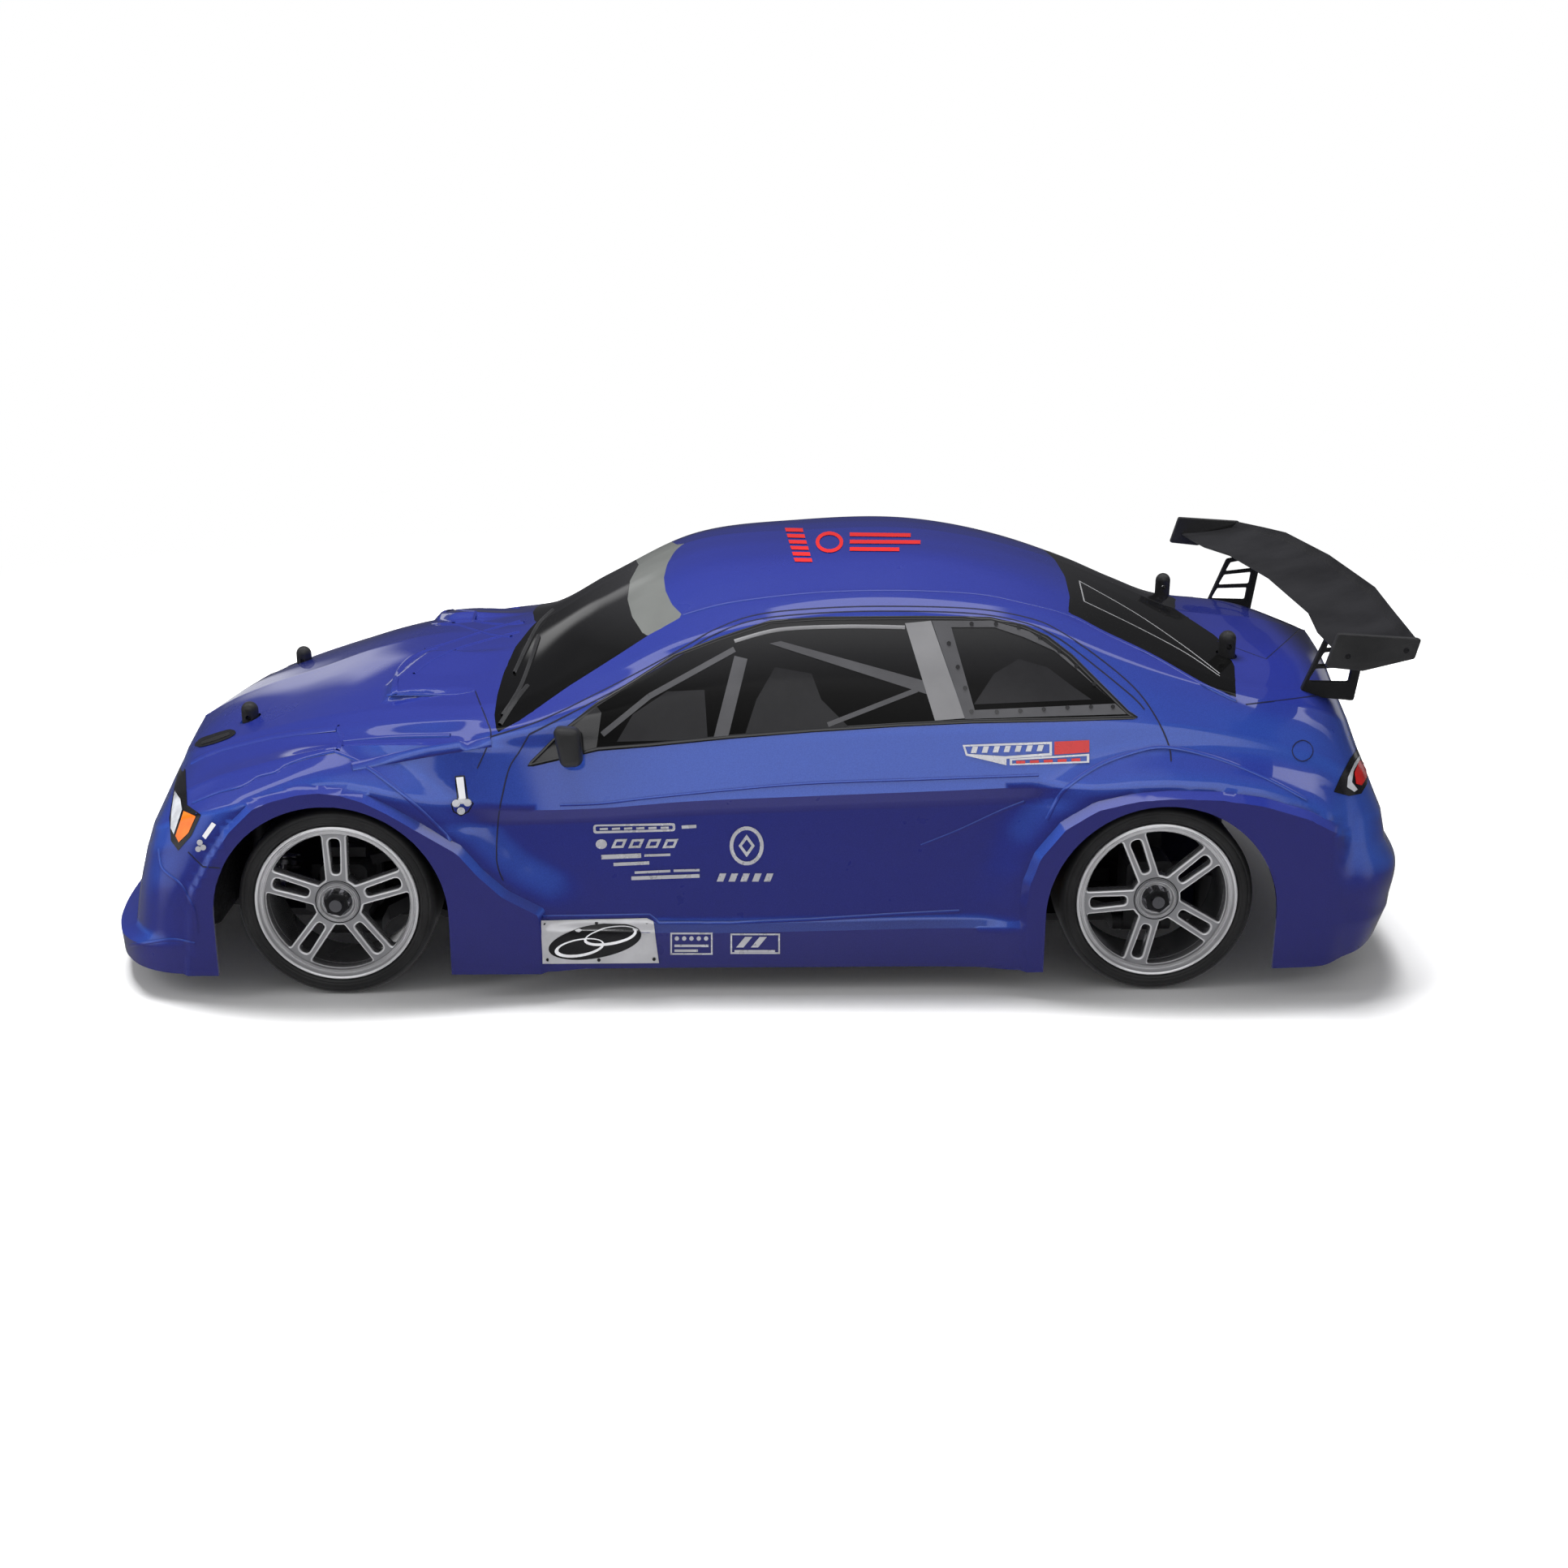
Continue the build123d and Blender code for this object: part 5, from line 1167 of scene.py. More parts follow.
# lamps
g = Group("headlamp_frame", "black_gloss")
HL = [(222, 946), (229, 948), (231, 992), (248, 1004), (236, 1030), (220, 1048), (211, 1036), (209, 1008), (216, 965)]
patch(g, HL, off=0.15, step=4)
g.done()
g = Group("headlamp_indicator", "lamp_orange")
patch(g, [(227, 1000), (242, 1006), (233, 1026), (221, 1038), (217, 1030)], off=0.3, step=3, bulge=0.5)
g.done()
g = Group("headlamp_lens", "lamp_clear")
patch(g, [(216, 975), (223, 985), (225, 998), (215, 1028), (211, 1020), (212, 1000)], off=0.3, step=3, bulge=0.5)
g.done()
g = Group("tail_lamp_bezel", "black_gloss")
TL = [(1643, 976), (1651, 958), (1663, 935), (1675, 919), (1684, 930), (1686, 950), (1684, 966), (1677, 978), (1662, 981)]
patch(g, TL, off=0.15, step=4)
g.done()
g = Group("tail_lamp_lens", "lamp_red")
patch(g, [(1668, 952), (1674, 937), (1682, 942), (1683, 958), (1677, 968), (1670, 966)], off=0.35, step=3, bulge=0.5)
g.done()
g = Group("tail_lamp_ring", "lamp_clear")
patch(g, [(1660, 958), (1668, 940), (1674, 931), (1676, 934), (1667, 950), (1665, 964), (1672, 973), (1668, 976), (1659, 970)], off=0.32, step=3, bulge=0.2)
g.done()

# latches on the wing and the nose corner
g = Group("latches", "decal_white")
patch(g, [(562, 958), (571, 957), (574, 984), (566, 985)], off=0.5, step=4)
patch(g, [(262, 1013), (267, 1016), (254, 1034), (250, 1030)], off=0.4, step=4)
g.done()
g = Group("latch_plates", "decal_silver")
for c in [(562, 990), (576, 989), (568, 999), (569, 986)]:
    patch(g, disc_px(c, 5.0, 4.6, n=14), off=0.45, step=4)
for c in [(247, 1038), (251, 1044), (245, 1046)]:
    patch(g, disc_px(c, 3.6, 3.6, n=12), off=0.4, step=4)
g.done()
g = Group("latch_edges", "decal_black")
ribbon(g, [(561, 957), (572, 956), (576, 984), (583, 990), (577, 1000), (568, 1005), (559, 1000), (556, 991), (564, 984)], 0.45, closed=True, smooth=False)
g.done()

# generic graphics in place of the marks
g = Group("bonnet_bar", "decal_black")
patch(g, [(240, 919), (246, 911), (262, 905), (284, 899), (291, 903), (284, 909), (266, 916), (246, 921)], off=0.2, step=4, smooth=True)
g.done()
g = Group("bonnet_bar_inset", "black_lattice")
patch(g, [(248, 915), (266, 908), (282, 903), (284, 906), (266, 913), (249, 918)], off=0.3, step=4)
g.done()
g = Group("sill_plate", "decal_plate")
SP = [(666, 1134), (797, 1131), (805, 1135), (812, 1186), (668, 1187)]
patch(g, SP, off=0.35, step=6)
g.done()
g = Group("sill_plate_rivets", "decal_black")
for c in [(671, 1139), (735, 1138), (797, 1137), (806, 1181), (738, 1182), (674, 1182)]:
    patch(g, disc_px(c, 2.2, n=10), off=0.5, step=5)
g.done()
g = Group("sill_pipes_dark", "decal_black")
patch(g, disc_px((733, 1160), 58, 20, n=44, rot=-0.17), off=0.42, step=5)
g.done()
g = Group("sill_pipes_rims", "decal_white")
patch(g, disc_px((714, 1167), 31, 11, n=32, rot=-0.17), [disc_px((715, 1166), 27.5, 8.6, n=30, rot=-0.17)], off=0.50, step=5)
patch(g, disc_px((752, 1153), 33, 10.5, n=32, rot=-0.17), [disc_px((752, 1152), 30, 8.2, n=30, rot=-0.17)], off=0.50, step=5)
g.done()
g = Group("side_boxes", "decal_silver")
for x0, y0, x1, y1 in ((826, 1149, 878, 1176), (900, 1150, 961, 1175)):
    patch(g, [(x0, y0), (x1, y0), (x1, y1), (x0, y1)], [[(x0 + 2, y0 + 2), (x1 - 2, y0 + 2), (x1 - 2, y1 - 2), (x0 + 2, y1 - 2)]], off=0.2, step=6)
for i in range(5):
    patch(g, disc_px((834 + 9 * i, 1156), 2.8, n=8), off=0.2, step=6)
patch(g, bar((831, 1165), (873, 1165), 3), off=0.2)
patch(g, bar((831, 1171), (860, 1171), 3), off=0.2)
patch(g, [(907, 1167), (918, 1154), (927, 1154), (916, 1167)], off=0.2)
patch(g, [(925, 1167), (936, 1154), (945, 1154), (934, 1167)], off=0.2)
patch(g, bar((905, 1171.5), (955, 1171.5), 2.6), off=0.2)
g.done()
g = Group("door_graphics", "decal_silver")
# four rows of plain bars and dots
patch(g, round_poly([(731, 1016), (832, 1014), (832, 1024), (731, 1027)], 4), [round_poly([(734, 1018), (829, 1017), (829, 1021.5), (734, 1024)], 2)], off=0.2, step=5)
patch(g, bar((840, 1019), (858, 1018), 4), off=0.2)
for i in range(6):
    patch(g, bar((739 + 15 * i, 1021.5 - 0.3 * i), (749 + 15 * i, 1021 - 0.3 * i), 2.6), off=0.2)
patch(g, disc_px((741, 1040), 7, 6, n=14), off=0.2)
for i in range(4):
    x = 753 + 21 * i
    patch(g, [(x, 1045), (x + 5, 1034), (x + 20, 1033.5), (x + 15, 1044.5)], [[(x + 5, 1042), (x + 7, 1037), (x + 15, 1036.6), (x + 13, 1041.6)]], off=0.2, step=5)
patch(g, bar((741, 1056), (790, 1054), 5.5), off=0.2)
patch(g, bar((794, 1054), (826, 1053), 3), off=0.2)
patch(g, bar((756, 1065), (800, 1063), 4), off=0.2)
patch(g, bar((782, 1075), (826, 1073), 3), off=0.2)
patch(g, bar((830, 1072.7), (862, 1072), 3), off=0.2)
patch(g, bar((778, 1082), (862, 1079), 4.5), off=0.2)
g.done()
g = Group("door_emblem", "decal_silver")
# a plain ring round a diamond, over a row of blocks
patch(g, disc_px((920, 1042), 21, 24, n=30), [disc_px((920, 1042), 16.5, 19.5, n=30)], off=0.2, step=4)
patch(g, [(920, 1028), (930, 1042), (920, 1056), (910, 1042)], [[(920, 1034), (926, 1042), (920, 1050), (914, 1042)]], off=0.2, step=4)
for i in range(5):
    x = 883 + 14.5 * i
    patch(g, [(x, 1086), (x + 4, 1076), (x + 12, 1076), (x + 8, 1086)], off=0.2, step=5)
g.done()
g = Group("flank_badge", "decal_silver")
patch(g, [(1186, 918), (1296, 914), (1296, 931), (1240, 935), (1240, 943), (1190, 931)], [[(1189, 920), (1293, 917), (1293, 928), (1238, 932), (1192, 929)]], off=0.2, step=5)
for i in range(7):
    x = 1196 + 13.5 * i
    patch(g, [(x, 928 - i * 0.4), (x + 2.4, 920 - i * 0.3), (x + 9, 920 - i * 0.3), (x + 6.6, 928 - i * 0.4)], off=0.21, step=5)
patch(g, [(1244, 935), (1342, 929), (1342, 940), (1244, 943)], [[(1247, 937), (1339, 931.5), (1339, 938), (1247, 941)]], off=0.2, step=5)
g.done()
g = Group("flank_badge_red", "decal_red")
patch(g, [(1299, 914), (1342, 912), (1342, 927), (1299, 930)], off=0.2, step=5)
for i in range(5):
    x = 1252 + 17 * i
    patch(g, bar((x, 939.5 - i * 0.7), (x + 11, 939 - i * 0.7), 3.6), off=0.22)
g.done()
g = Group("roof_graphic", "decal_red", mirror=False)
# a row of plain blocks, a ring and three stripes
for i in range(6):
    t = i / 5
    a = np.array([967 + 10 * 0, 651 + 0.0]) + t * np.array([11, 37])
    patch(g, [tuple(a), (a[0] + 22, a[1] + 0.5), (a[0] + 23, a[1] + 5), (a[0] + 1.5, a[1] + 4.5)], off=0.2, step=4)
patch(g, disc_px((1022, 668.5), 17, 13, n=30), [disc_px((1022, 668.5), 12.5, 8.8, n=30)], off=0.2, step=4)
patch(g, bar((1047, 659), (1122, 660), 4.6), off=0.2, step=4)
patch(g, bar((1047, 668), (1134, 668.5), 4.6), off=0.2, step=4)
patch(g, bar((1047, 677), (1108, 677.5), 4.6), off=0.2, step=4)
g.done()

# wipers
g = Group("wiper_arms", "black_satin")
ribbon(g, [(619, 882), (640, 850), (655, 812), (664, 784)], 1.1, off=0.9)
ribbon(g, [(634, 830), (648, 800), (664, 770), (682, 752)], 1.0, off=0.9)
ribbon(g, [(616, 893), (632, 868), (650, 845)], 1.6, off=0.7)
g.mirror = False
g.done()


# ------------------------------------------------------------------ wheels
def wheel(tag, cx, s, body, rot_deg):
    """rim, hub, nut and tyre of one wheel; built for +y and flipped for the far side"""
    def place(V, F_):
        V = np.array(V, float)
        V[:, 1] *= s
        V = V * MM
        V[:, 0] += cx * MM
        V[:, 2] += 31 * MM
        if s < 0:
            F_ = [list(reversed(f)) for f in F_]
        return V, F_
    # barrel with a double lip
    prof = [(23.3, 73.0), (23.8, 72.2), (25.5, 72.15), (25.8, 72.5), (25.8, 74.2), (25.0, 75.4), (24.9, 92.5), (25.6, 93.6),
            (25.8, 94.6), (25.8, 96.3), (25.62, 96.75), (25.2, 96.9), (24.85, 96.75), (24.65, 96.3), (24.5, 95.5), (24.25, 95.1),
            (24.0, 95.2), (23.8, 95.7), (23.5, 95.95), (23.1, 95.85), (22.85, 95.4), (22.75, 94.4), (22.7, 88.0), (23.2, 84.0), (23.3, 73.0)]
    V, F_ = lathe(prof, 120)
    F_ = [f[::-1] for f in F_]
    V, F_ = place(V, F_)
    rim = mesh_from("rim_barrel_" + tag, V, F_, mats=("rim_metal",), body=body, sharp=40, slot="rim_silver")
    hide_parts("rim_" + tag)
    # spoke face
    loops = []
    n = 72
    Ro = 23.4
    loops.append([(Ro * math.cos(2 * math.pi * i / n), Ro * math.sin(2 * math.pi * i / n)) for i in range(n)])
    w0, w1 = 3.55, 3.95
    Rin, Rh = 22.5, 7.6
    for k in range(5):
        th = math.radians(68 + 72 * k)
        th2 = th + math.radians(72)
        u, v = np.array([math.cos(th), math.sin(th)]), np.array([-math.sin(th), math.cos(th)])
        u2, v2 = np.array([math.cos(th2), math.sin(th2)]), np.array([-math.sin(th2), math.cos(th2)])
        tm = (th + th2) / 2
        um = np.array([math.cos(tm), math.sin(tm)])
        a0 = u * 7.2 + v * w0
        a1 = u * math.sqrt(Rin ** 2 - w1 ** 2) + v * w1
        b1 = u2 * math.sqrt(Rin ** 2 - w1 ** 2) - v2 * w1
        b0 = u2 * 7.2 - v2 * w0
        ang0 = math.atan2(a1[1], a1[0])
        ang1 = math.atan2(b1[1], b1[0])
        while ang1 < ang0:
            ang1 += 2 * math.pi
        arc = [(Rin * math.cos(ang0 + (ang1 - ang0) * q / 10), Rin * math.sin(ang0 + (ang1 - ang0) * q / 10)) for q in range(1, 10)]
        raw = [tuple(a0), tuple(a1)] + arc + [tuple(b1), tuple(b0), tuple(um * 8.0)]
        rad = [0.7, 1.3] + [0] * 9 + [1.3, 0.7, 1.0]
        loops.append(round_poly(raw, rad, 5)[::-1])
        sl = [tuple(u * 9.4 + v * 1.3), tuple(u * 9.4 - v * 1.3), tuple(u * 21.0 - v * 1.85), tuple(u * 21.0 + v * 1.85)]
        loops.append(round_poly(sl, [1.2, 1.2, 1.6, 1.6], 5))
    loops.append([(4.4 * math.cos(2 * math.pi * i / 36), 4.4 * math.sin(2 * math.pi * i / 36)) for i in range(36)][::-1])
    V, F_ = curve_plate("spokes", loops, 4.4, 0.75, 3)
    ca, sa = math.cos(math.radians(rot_deg - 68)), math.sin(math.radians(rot_deg - 68))
    V = np.stack([V[:, 0] * ca - V[:, 1] * sa, V[:, 0] * sa + V[:, 1] * ca, V[:, 2]], 1)
    r = np.hypot(V[:, 0], V[:, 1])
    W = np.stack([V[:, 0], 90.6 + V[:, 2] + 0.0 * r, V[:, 1]], 1)
    F_ = [list(reversed(f)) for f in F_]
    V, F_ = place(W, F_)
    mesh_from("rim_spokes_" + tag, V, F_, mats=("rim_metal",), body=body, sharp=50, slot="rim_silver")
    # hub ring and dark centre
    V, F_ = lathe([(6.6, 93.6), (6.55, 95.3), (6.3, 95.75), (5.9, 95.8), (5.55, 95.5), (5.4, 94.9), (5.3, 92.6)], 60)
    V, F_ = place(V, [f[::-1] for f in F_])
    mesh_from("rim_hub_ring_" + tag, V, F_, mats=("rim_metal",), body=body, sharp=40, slot="rim_silver")
    V, F_ = lathe([(7.2, 92.2), (7.2, 95.0), (6.95, 95.15), (6.6, 94.6)], 60)
    V, F_ = place(V, [f[::-1] for f in F_])
    mesh_from("rim_hub_seat_" + tag, V, F_, mats=("hub_black",), body=body, sharp=40)
    V, F_ = lathe([(5.4, 93.2), (5.2, 94.5), (4.9, 94.6), (4.7, 94.4), (4.6, 93.6), (3.0, 93.5)], 48)
    V, F_ = place(V, [f[::-1] for f in F_])
    mesh_from("rim_hub_recess_" + tag, V, F_, mats=("hub_black",), body=body, sharp=40)
    # black lock nut over the axle end
    hexa = [(4.15 * math.cos(math.pi / 3 * i + 0.3), 4.15 * math.sin(math.pi / 3 * i + 0.3)) for i in range(6)]
    V, F_ = curve_plate("nut", [hexa, [(0.9 * math.cos(-2 * math.pi * i / 24), 0.9 * math.sin(-2 * math.pi * i / 24)) for i in range(24)]], 4.3, 0.45, 2)
    W = np.stack([V[:, 0], 93.2 + V[:, 2], V[:, 1]], 1)
    V, F_ = place(W, [list(reversed(f)) for f in F_])
    mesh_from("lock_nut_" + tag, V, F_, mats=("hub_black",), body=body, sharp=40)
    # tyre
    prof = [(25.9, 74.0), (25.95, 73.0), (26.6, 72.35), (27.6, 71.95), (28.9, 71.95), (30.0, 72.35), (30.65, 73.3), (30.95, 74.6),
            (31.0, 76.0), (31.0, 93.2), (30.95, 94.5), (30.68, 95.7), (30.2, 96.5), (29.6, 96.95), (29.2, 97.0), (29.05, 96.9), (28.9, 97.05), (28.2, 97.18),
            (27.4, 97.15), (27.2, 96.98), (27.0, 97.05), (26.6, 96.95), (26.2, 96.6), (25.95, 96.2), (25.9, 95.3), (25.88, 94.6)]
    V, F_ = lathe(prof, 144)
    V, F_ = place(V, [f[::-1] for f in F_])
    t = mesh_from("tyre_visual_" + tag, V, F_, mats=("tyre_rubber",), body=body, sharp=50, slot="tyre_rubber")
    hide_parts("tyre_" + tag)


for tag, cx, s, body, rot in (("fl", 130, 1, "wheel_fl", 90), ("fr", 130, -1, "wheel_fr", 90), ("rl", -130, 1, "wheel_rl", 68), ("rr", -130, -1, "wheel_rr", 68)):
    wheel(tag, cx, s, body, rot)


# -------------------------------------------------------------------- wing
def wing():
    st = [(-105.0, (-178, 113.2), (-201, 116.2)), (-76.0, (-180, 113.4), (-203.5, 119.0)), (-52.0, (-184, 114.5), (-206, 121.0)),
          (0.0, (-184.6, 116.0), (-206.6, 122.0))]
    st = st + [(-y_, a, b) for y_, a, b in reversed(st[:-1])]
    ys = []
    for i in range(len(st) - 1):
        y0, y1 = st[i][0], st[i + 1][0]
        k = 12
        for j in range(k):
            ys.append(y0 + (y1 - y0) * j / k)
    ys.append(st[-1][0])
    Y = [q[0] for q in st]
    secs = []
    for yy in ys:
        L = np.array([np.interp(yy, Y, [q[1][0] for q in st]), np.interp(yy, Y, [q[1][1] for q in st])])
        T = np.array([np.interp(yy, Y, [q[2][0] for q in st]), np.interp(yy, Y, [q[2][1] for q in st])])
        c = T - L
        ln = np.linalg.norm(c)
        e = c / ln
        nrm = np.array([-e[1], e[0]])
        if nrm[1] < 0:
            nrm = -nrm
        pts = []
        up_, dn_ = [], []
        for t in (0, 0.015, 0.05, 0.12, 0.25, 0.42, 0.6, 0.78, 0.9, 1.0):
            camber = -1.3 * 4 * t * (1 - t) * 0.5
            th = 0.62 + 0.75 * math.sqrt(max(0, min(1, t * 8))) * (1 - 0.45 * t)
            if t == 0:
                th = 0.12
            lip = 1.9 * max(0, (t - 0.93) / 0.07) ** 1.5
            up_.append(L + c * t + nrm * (camber + th * 0.5 + lip))
            dn_.append(L + c * t + nrm * (camber - th * 0.5))
        pts = up_ + dn_[::-1]
        secs.append([(p[0], yy, p[1]) for p in pts])
    n = len(secs[0])
    V = [p for s_ in secs for p in s_]
    F_ = []
    for i in range(len(secs) - 1):
        for j in range(n):
            k = (j + 1) % n
            F_.append((i * n + j, i * n + k, (i + 1) * n + k, (i + 1) * n + j))
    F_.append(tuple(range(n))[::-1])
    F_.append(tuple((len(secs) - 1) * n + i for i in range(n)))
    V = np.array(V) * MM
    ob = mesh_from("wing_blade", V, F_, mats=("wing_black",), sharp=None)
    bm = bmesh.new(); bm.from_mesh(ob.data); bmesh.ops.recalc_face_normals(bm, faces=bm.faces); bm.to_mesh(ob.data); bm.free()
    bevelled(ob, 0.00018, 2, 50)
    ob.data.shade_smooth(); ob.data.set_sharp_from_angle(angle=math.radians(35))
    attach(ob, "body"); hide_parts("rear_wing")


wing()
EP = [(-176.6, 120.2), (-201.9, 118.6), (-200.4, 112.4), (-185.0, 108.6), (-173.6, 109.8)]


def plate_y(name, loops, y0, depth, bevel, mat, body="body", slot=None, sharp=40):
    V, F_ = curve_plate(name, [[(p[0] * MM, p[1] * MM) for p in lp] for lp in loops], depth * MM, bevel * MM, 2)
    W = np.stack([V[:, 0], y0 * MM + V[:, 2], V[:, 1]], 1)
    F_ = [list(reversed(f)) for f in F_]
    return mesh_from(name, W, F_, mats=(mat,), body=body, sharp=sharp, slot=slot)


for sname, sg in (("left", 1), ("right", -1)):
    y0 = 105.05 if sg > 0 else -107.05
    ob = plate_y("wing_end_plate_" + sname, [round_poly(EP, 0.9)], y0, 2.0, 0.35, "black_satin", slot="black_plastic")
    if sg > 0:
        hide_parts("wing_end_plates")
    for i, (sx, sz) in enumerate(((-180.0, 113.2), (-197.5, 115.0))):
        V, F_ = lathe([(0.0001, 107.0), (0.35, 107.2), (0.8, 107.15), (1.0, 106.9), (1.0, 106.4)], 24)
        V = V * [1, sg, 1] + [sx, 0, sz]
        F_ = [f[::-1] if sg > 0 else f for f in F_]
        mesh_from("wing_screw_%s_%d" % (sname, i), V * MM, F_, mats=("hub_black",), body="body", sharp=30)
    SO = [(-178.5, 93.9), (-197.5, 93.2), (-200.5, 113.6), (-186.8, 110.6)]
    O = np.array(SO)
    # three windows between cross bars
    def lerp(a, b, t):
        return O[a] * (1 - t) + O[b] * t
    wins = []
    for t0, t1 in ((0.07, 0.31), (0.38, 0.62), (0.69, 0.90)):
        q = [lerp(0, 3, t0), lerp(1, 2, t0), lerp(1, 2, t1), lerp(0, 3, t1)]
        c = sum(q) / 4
        q = [q[0] + (q[1] - q[0]) * 0.14, q[1] + (q[0] - q[1]) * 0.14, q[2] + (q[3] - q[2]) * 0.16, q[3] + (q[2] - q[3]) * 0.16]
        wins.append(round_poly([tuple(p) for p in q], 0.8)[::-1])
    y0 = (65 - 1.1) if sg > 0 else (-65 - 1.1)
    ob = plate_y("wing_stand_" + sname, [round_poly([(-178.9, 90.2), (-197.2, 88.4), SO[2], SO[3]], 1.0)] + wins, y0, 2.2, 0.35, "wing_black", slot="black_plastic")
    if sg > 0:
        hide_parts("wing_stands")

# ----------------------------------------------------------------- mirrors
for sname, sg in (("left", 1), ("right", -1)):
    bm = bmesh.new()
    bmesh.ops.create_cube(bm, size=1.0)
    for v in bm.verts:
        x_, y_, z_ = v.co
        k = 1.0 if x_ > 0 else 0.92
        v.co = Vector(((55.2 + x_ * (8.4 if z_ > 0 else 6.8) + (0.9 if z_ > 0 else -0.6)), (95.2 + y_ * 8.4 * k), (82.0 + z_ * 13.2 * k + (0.5 if y_ > 0 else -0.4))))
    me = bpy.data.meshes.new("mirror")
    bm.to_mesh(me); bm.free()
    ob = link("mirror_head_" + sname, me, mats=("black_satin",), smooth=False)
    bevelled(ob, 2.4, 5, 30)
    V = np.array([v.co[:] for v in ob.data.vertices])
    V[:, 1] *= sg
    for v, c in zip(ob.data.vertices, V * MM):
        v.co = c
    if sg < 0:
        ob.data.flip_normals()
    ob.data.shade_smooth(); ob.data.set_sharp_from_angle(angle=math.radians(40))
    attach(ob, "body")
    if sg > 0:
        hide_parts("side_mirrors")
    V, F_ = lathe([(0.01, 0), (1.7, 0), (1.5, 2.5), (1.35, 5.0), (0.01, 5.0)], 20, "Y")
    V = V + [57.5, 88.2, 80.8]
    V[:, 1] *= sg
    mesh_from("mirror_stem_" + sname, V * MM, [f[::-1] if sg > 0 else f for f in F_], mats=("black_satin",), body="body")

# ------------------------------------------------ post positions; nothing is built for them here
for nm, x_, y_ in (("front", 167.4, 40.4), ("rear", -158.8, 49.3)):
    pass

# ------------------------------------------------------- camera and lights
BLOBS = [((-0.62, -0.75, 0.12), 4, 14, 0.5), ((0.75, -0.25, 0.6), 6, 18, 0.14),
         ((0.0, 0.60, 0.80), 8, 20, 0.35), ((0.9, 0.3, 0.1), 6, 22, 0.6), ((-0.9, 0.4, 0.15), 6, 22, 0.45)]
WORLD_DIFFUSE = 0.40
cam_d = bpy.data.cameras.new("cam")
cam_d.sensor_width = 36.0
cam_d.lens = FPX / 1932 * 36.0
cam = bpy.data.objects.new("cam", cam_d)
COL.objects.link(cam)
M = Matrix.Identity(4)
for i in range(3):
    M[i][0], M[i][1], M[i][2], M[i][3] = R2[i], U2[i], -_d[i], CAM_POS[i]
cam.matrix_world = M
cam_d.clip_start = 0.01
bpy.context.scene.camera = cam

# plain pale floor; seen directly it fades to white away from the car
m, nt, b = new_mat("floor_mat")
v = coords(nt)
nt.links.new(ramp(nt, noise(nt, v, 3.0), [(0.3, (0.87, 0.87, 0.875)), (0.7, (0.90, 0.90, 0.905))]), b.inputs["Base Color"])
b.inputs["Roughness"].default_value = 0.55
b.inputs["Specular IOR Level"].default_value = 0.15
geo = N(nt, "ShaderNodeNewGeometry")
ln = N(nt, "ShaderNodeVectorMath", operation="LENGTH")
nt.links.new(geo.outputs["Position"], ln.inputs[0])
fm = N(nt, "ShaderNodeMapRange", interpolation_type="SMOOTHSTEP")
fm.inputs["From Min"].default_value = 0.27
fm.inputs["From Max"].default_value = 0.80
nt.links.new(ln.outputs["Value"], fm.inputs["Value"])
lpf = N(nt, "ShaderNodeLightPath")
mu = N(nt, "ShaderNodeMath", operation="MULTIPLY")
nt.links.new(fm.outputs["Result"], mu.inputs[0])
nt.links.new(lpf.outputs["Is Camera Ray"], mu.inputs[1])
em = N(nt, "ShaderNodeEmission")
em.inputs[0].default_value = (1, 1, 1, 1)
ms = N(nt, "ShaderNodeMixShader")
nt.links.new(mu.outputs[0], ms.inputs[0])
nt.links.new(b.outputs[0], ms.inputs[1])
nt.links.new(em.outputs[0], ms.inputs[2])
nt.links.new(ms.outputs[0], nt.nodes["Material Output"].inputs["Surface"])
V = [(3.2 * math.cos(2 * math.pi * i / 64), 3.2 * math.sin(2 * math.pi * i / 64), 0.0) for i in range(64)]
fl = mesh_from("floor", V, [tuple(range(64))], mats=("floor_mat",), sharp=None)

fl.visible_glossy = False
vs = bpy.context.scene.view_settings
vs.view_transform = "Standard"
vs.look = "None"

w = bpy.data.worlds.new("w")
bpy.context.scene.world = w
w.use_nodes = True
nt = w.node_tree
for n in list(nt.nodes):
    nt.nodes.remove(n)
out = N(nt, "ShaderNodeOutputWorld")
tc = N(nt, "ShaderNodeTexCoord")
sep = N(nt, "ShaderNodeSeparateXYZ")
nt.links.new(tc.outputs["Generated"], sep.inputs["Vector"])
mr = N(nt, "ShaderNodeMapRange")
mr.inputs["From Min"].default_value = -1.0
mr.inputs["From Max"].default_value = 1.0
nt.links.new(sep.outputs["Z"], mr.inputs["Value"])
# studio as seen in reflections: dim room, brighter floor far below, soft ceiling
env = ramp(nt, mr.outputs["Result"], [(0.0, (0.40, 0.40, 0.41)), (0.30, (0.16, 0.16, 0.17)), (0.46, (0.05, 0.05, 0.055)), (0.56, (0.05, 0.05, 0.055)),
                                      (0.75, (0.08, 0.08, 0.09)), (1.0, (0.25, 0.25, 0.27))])


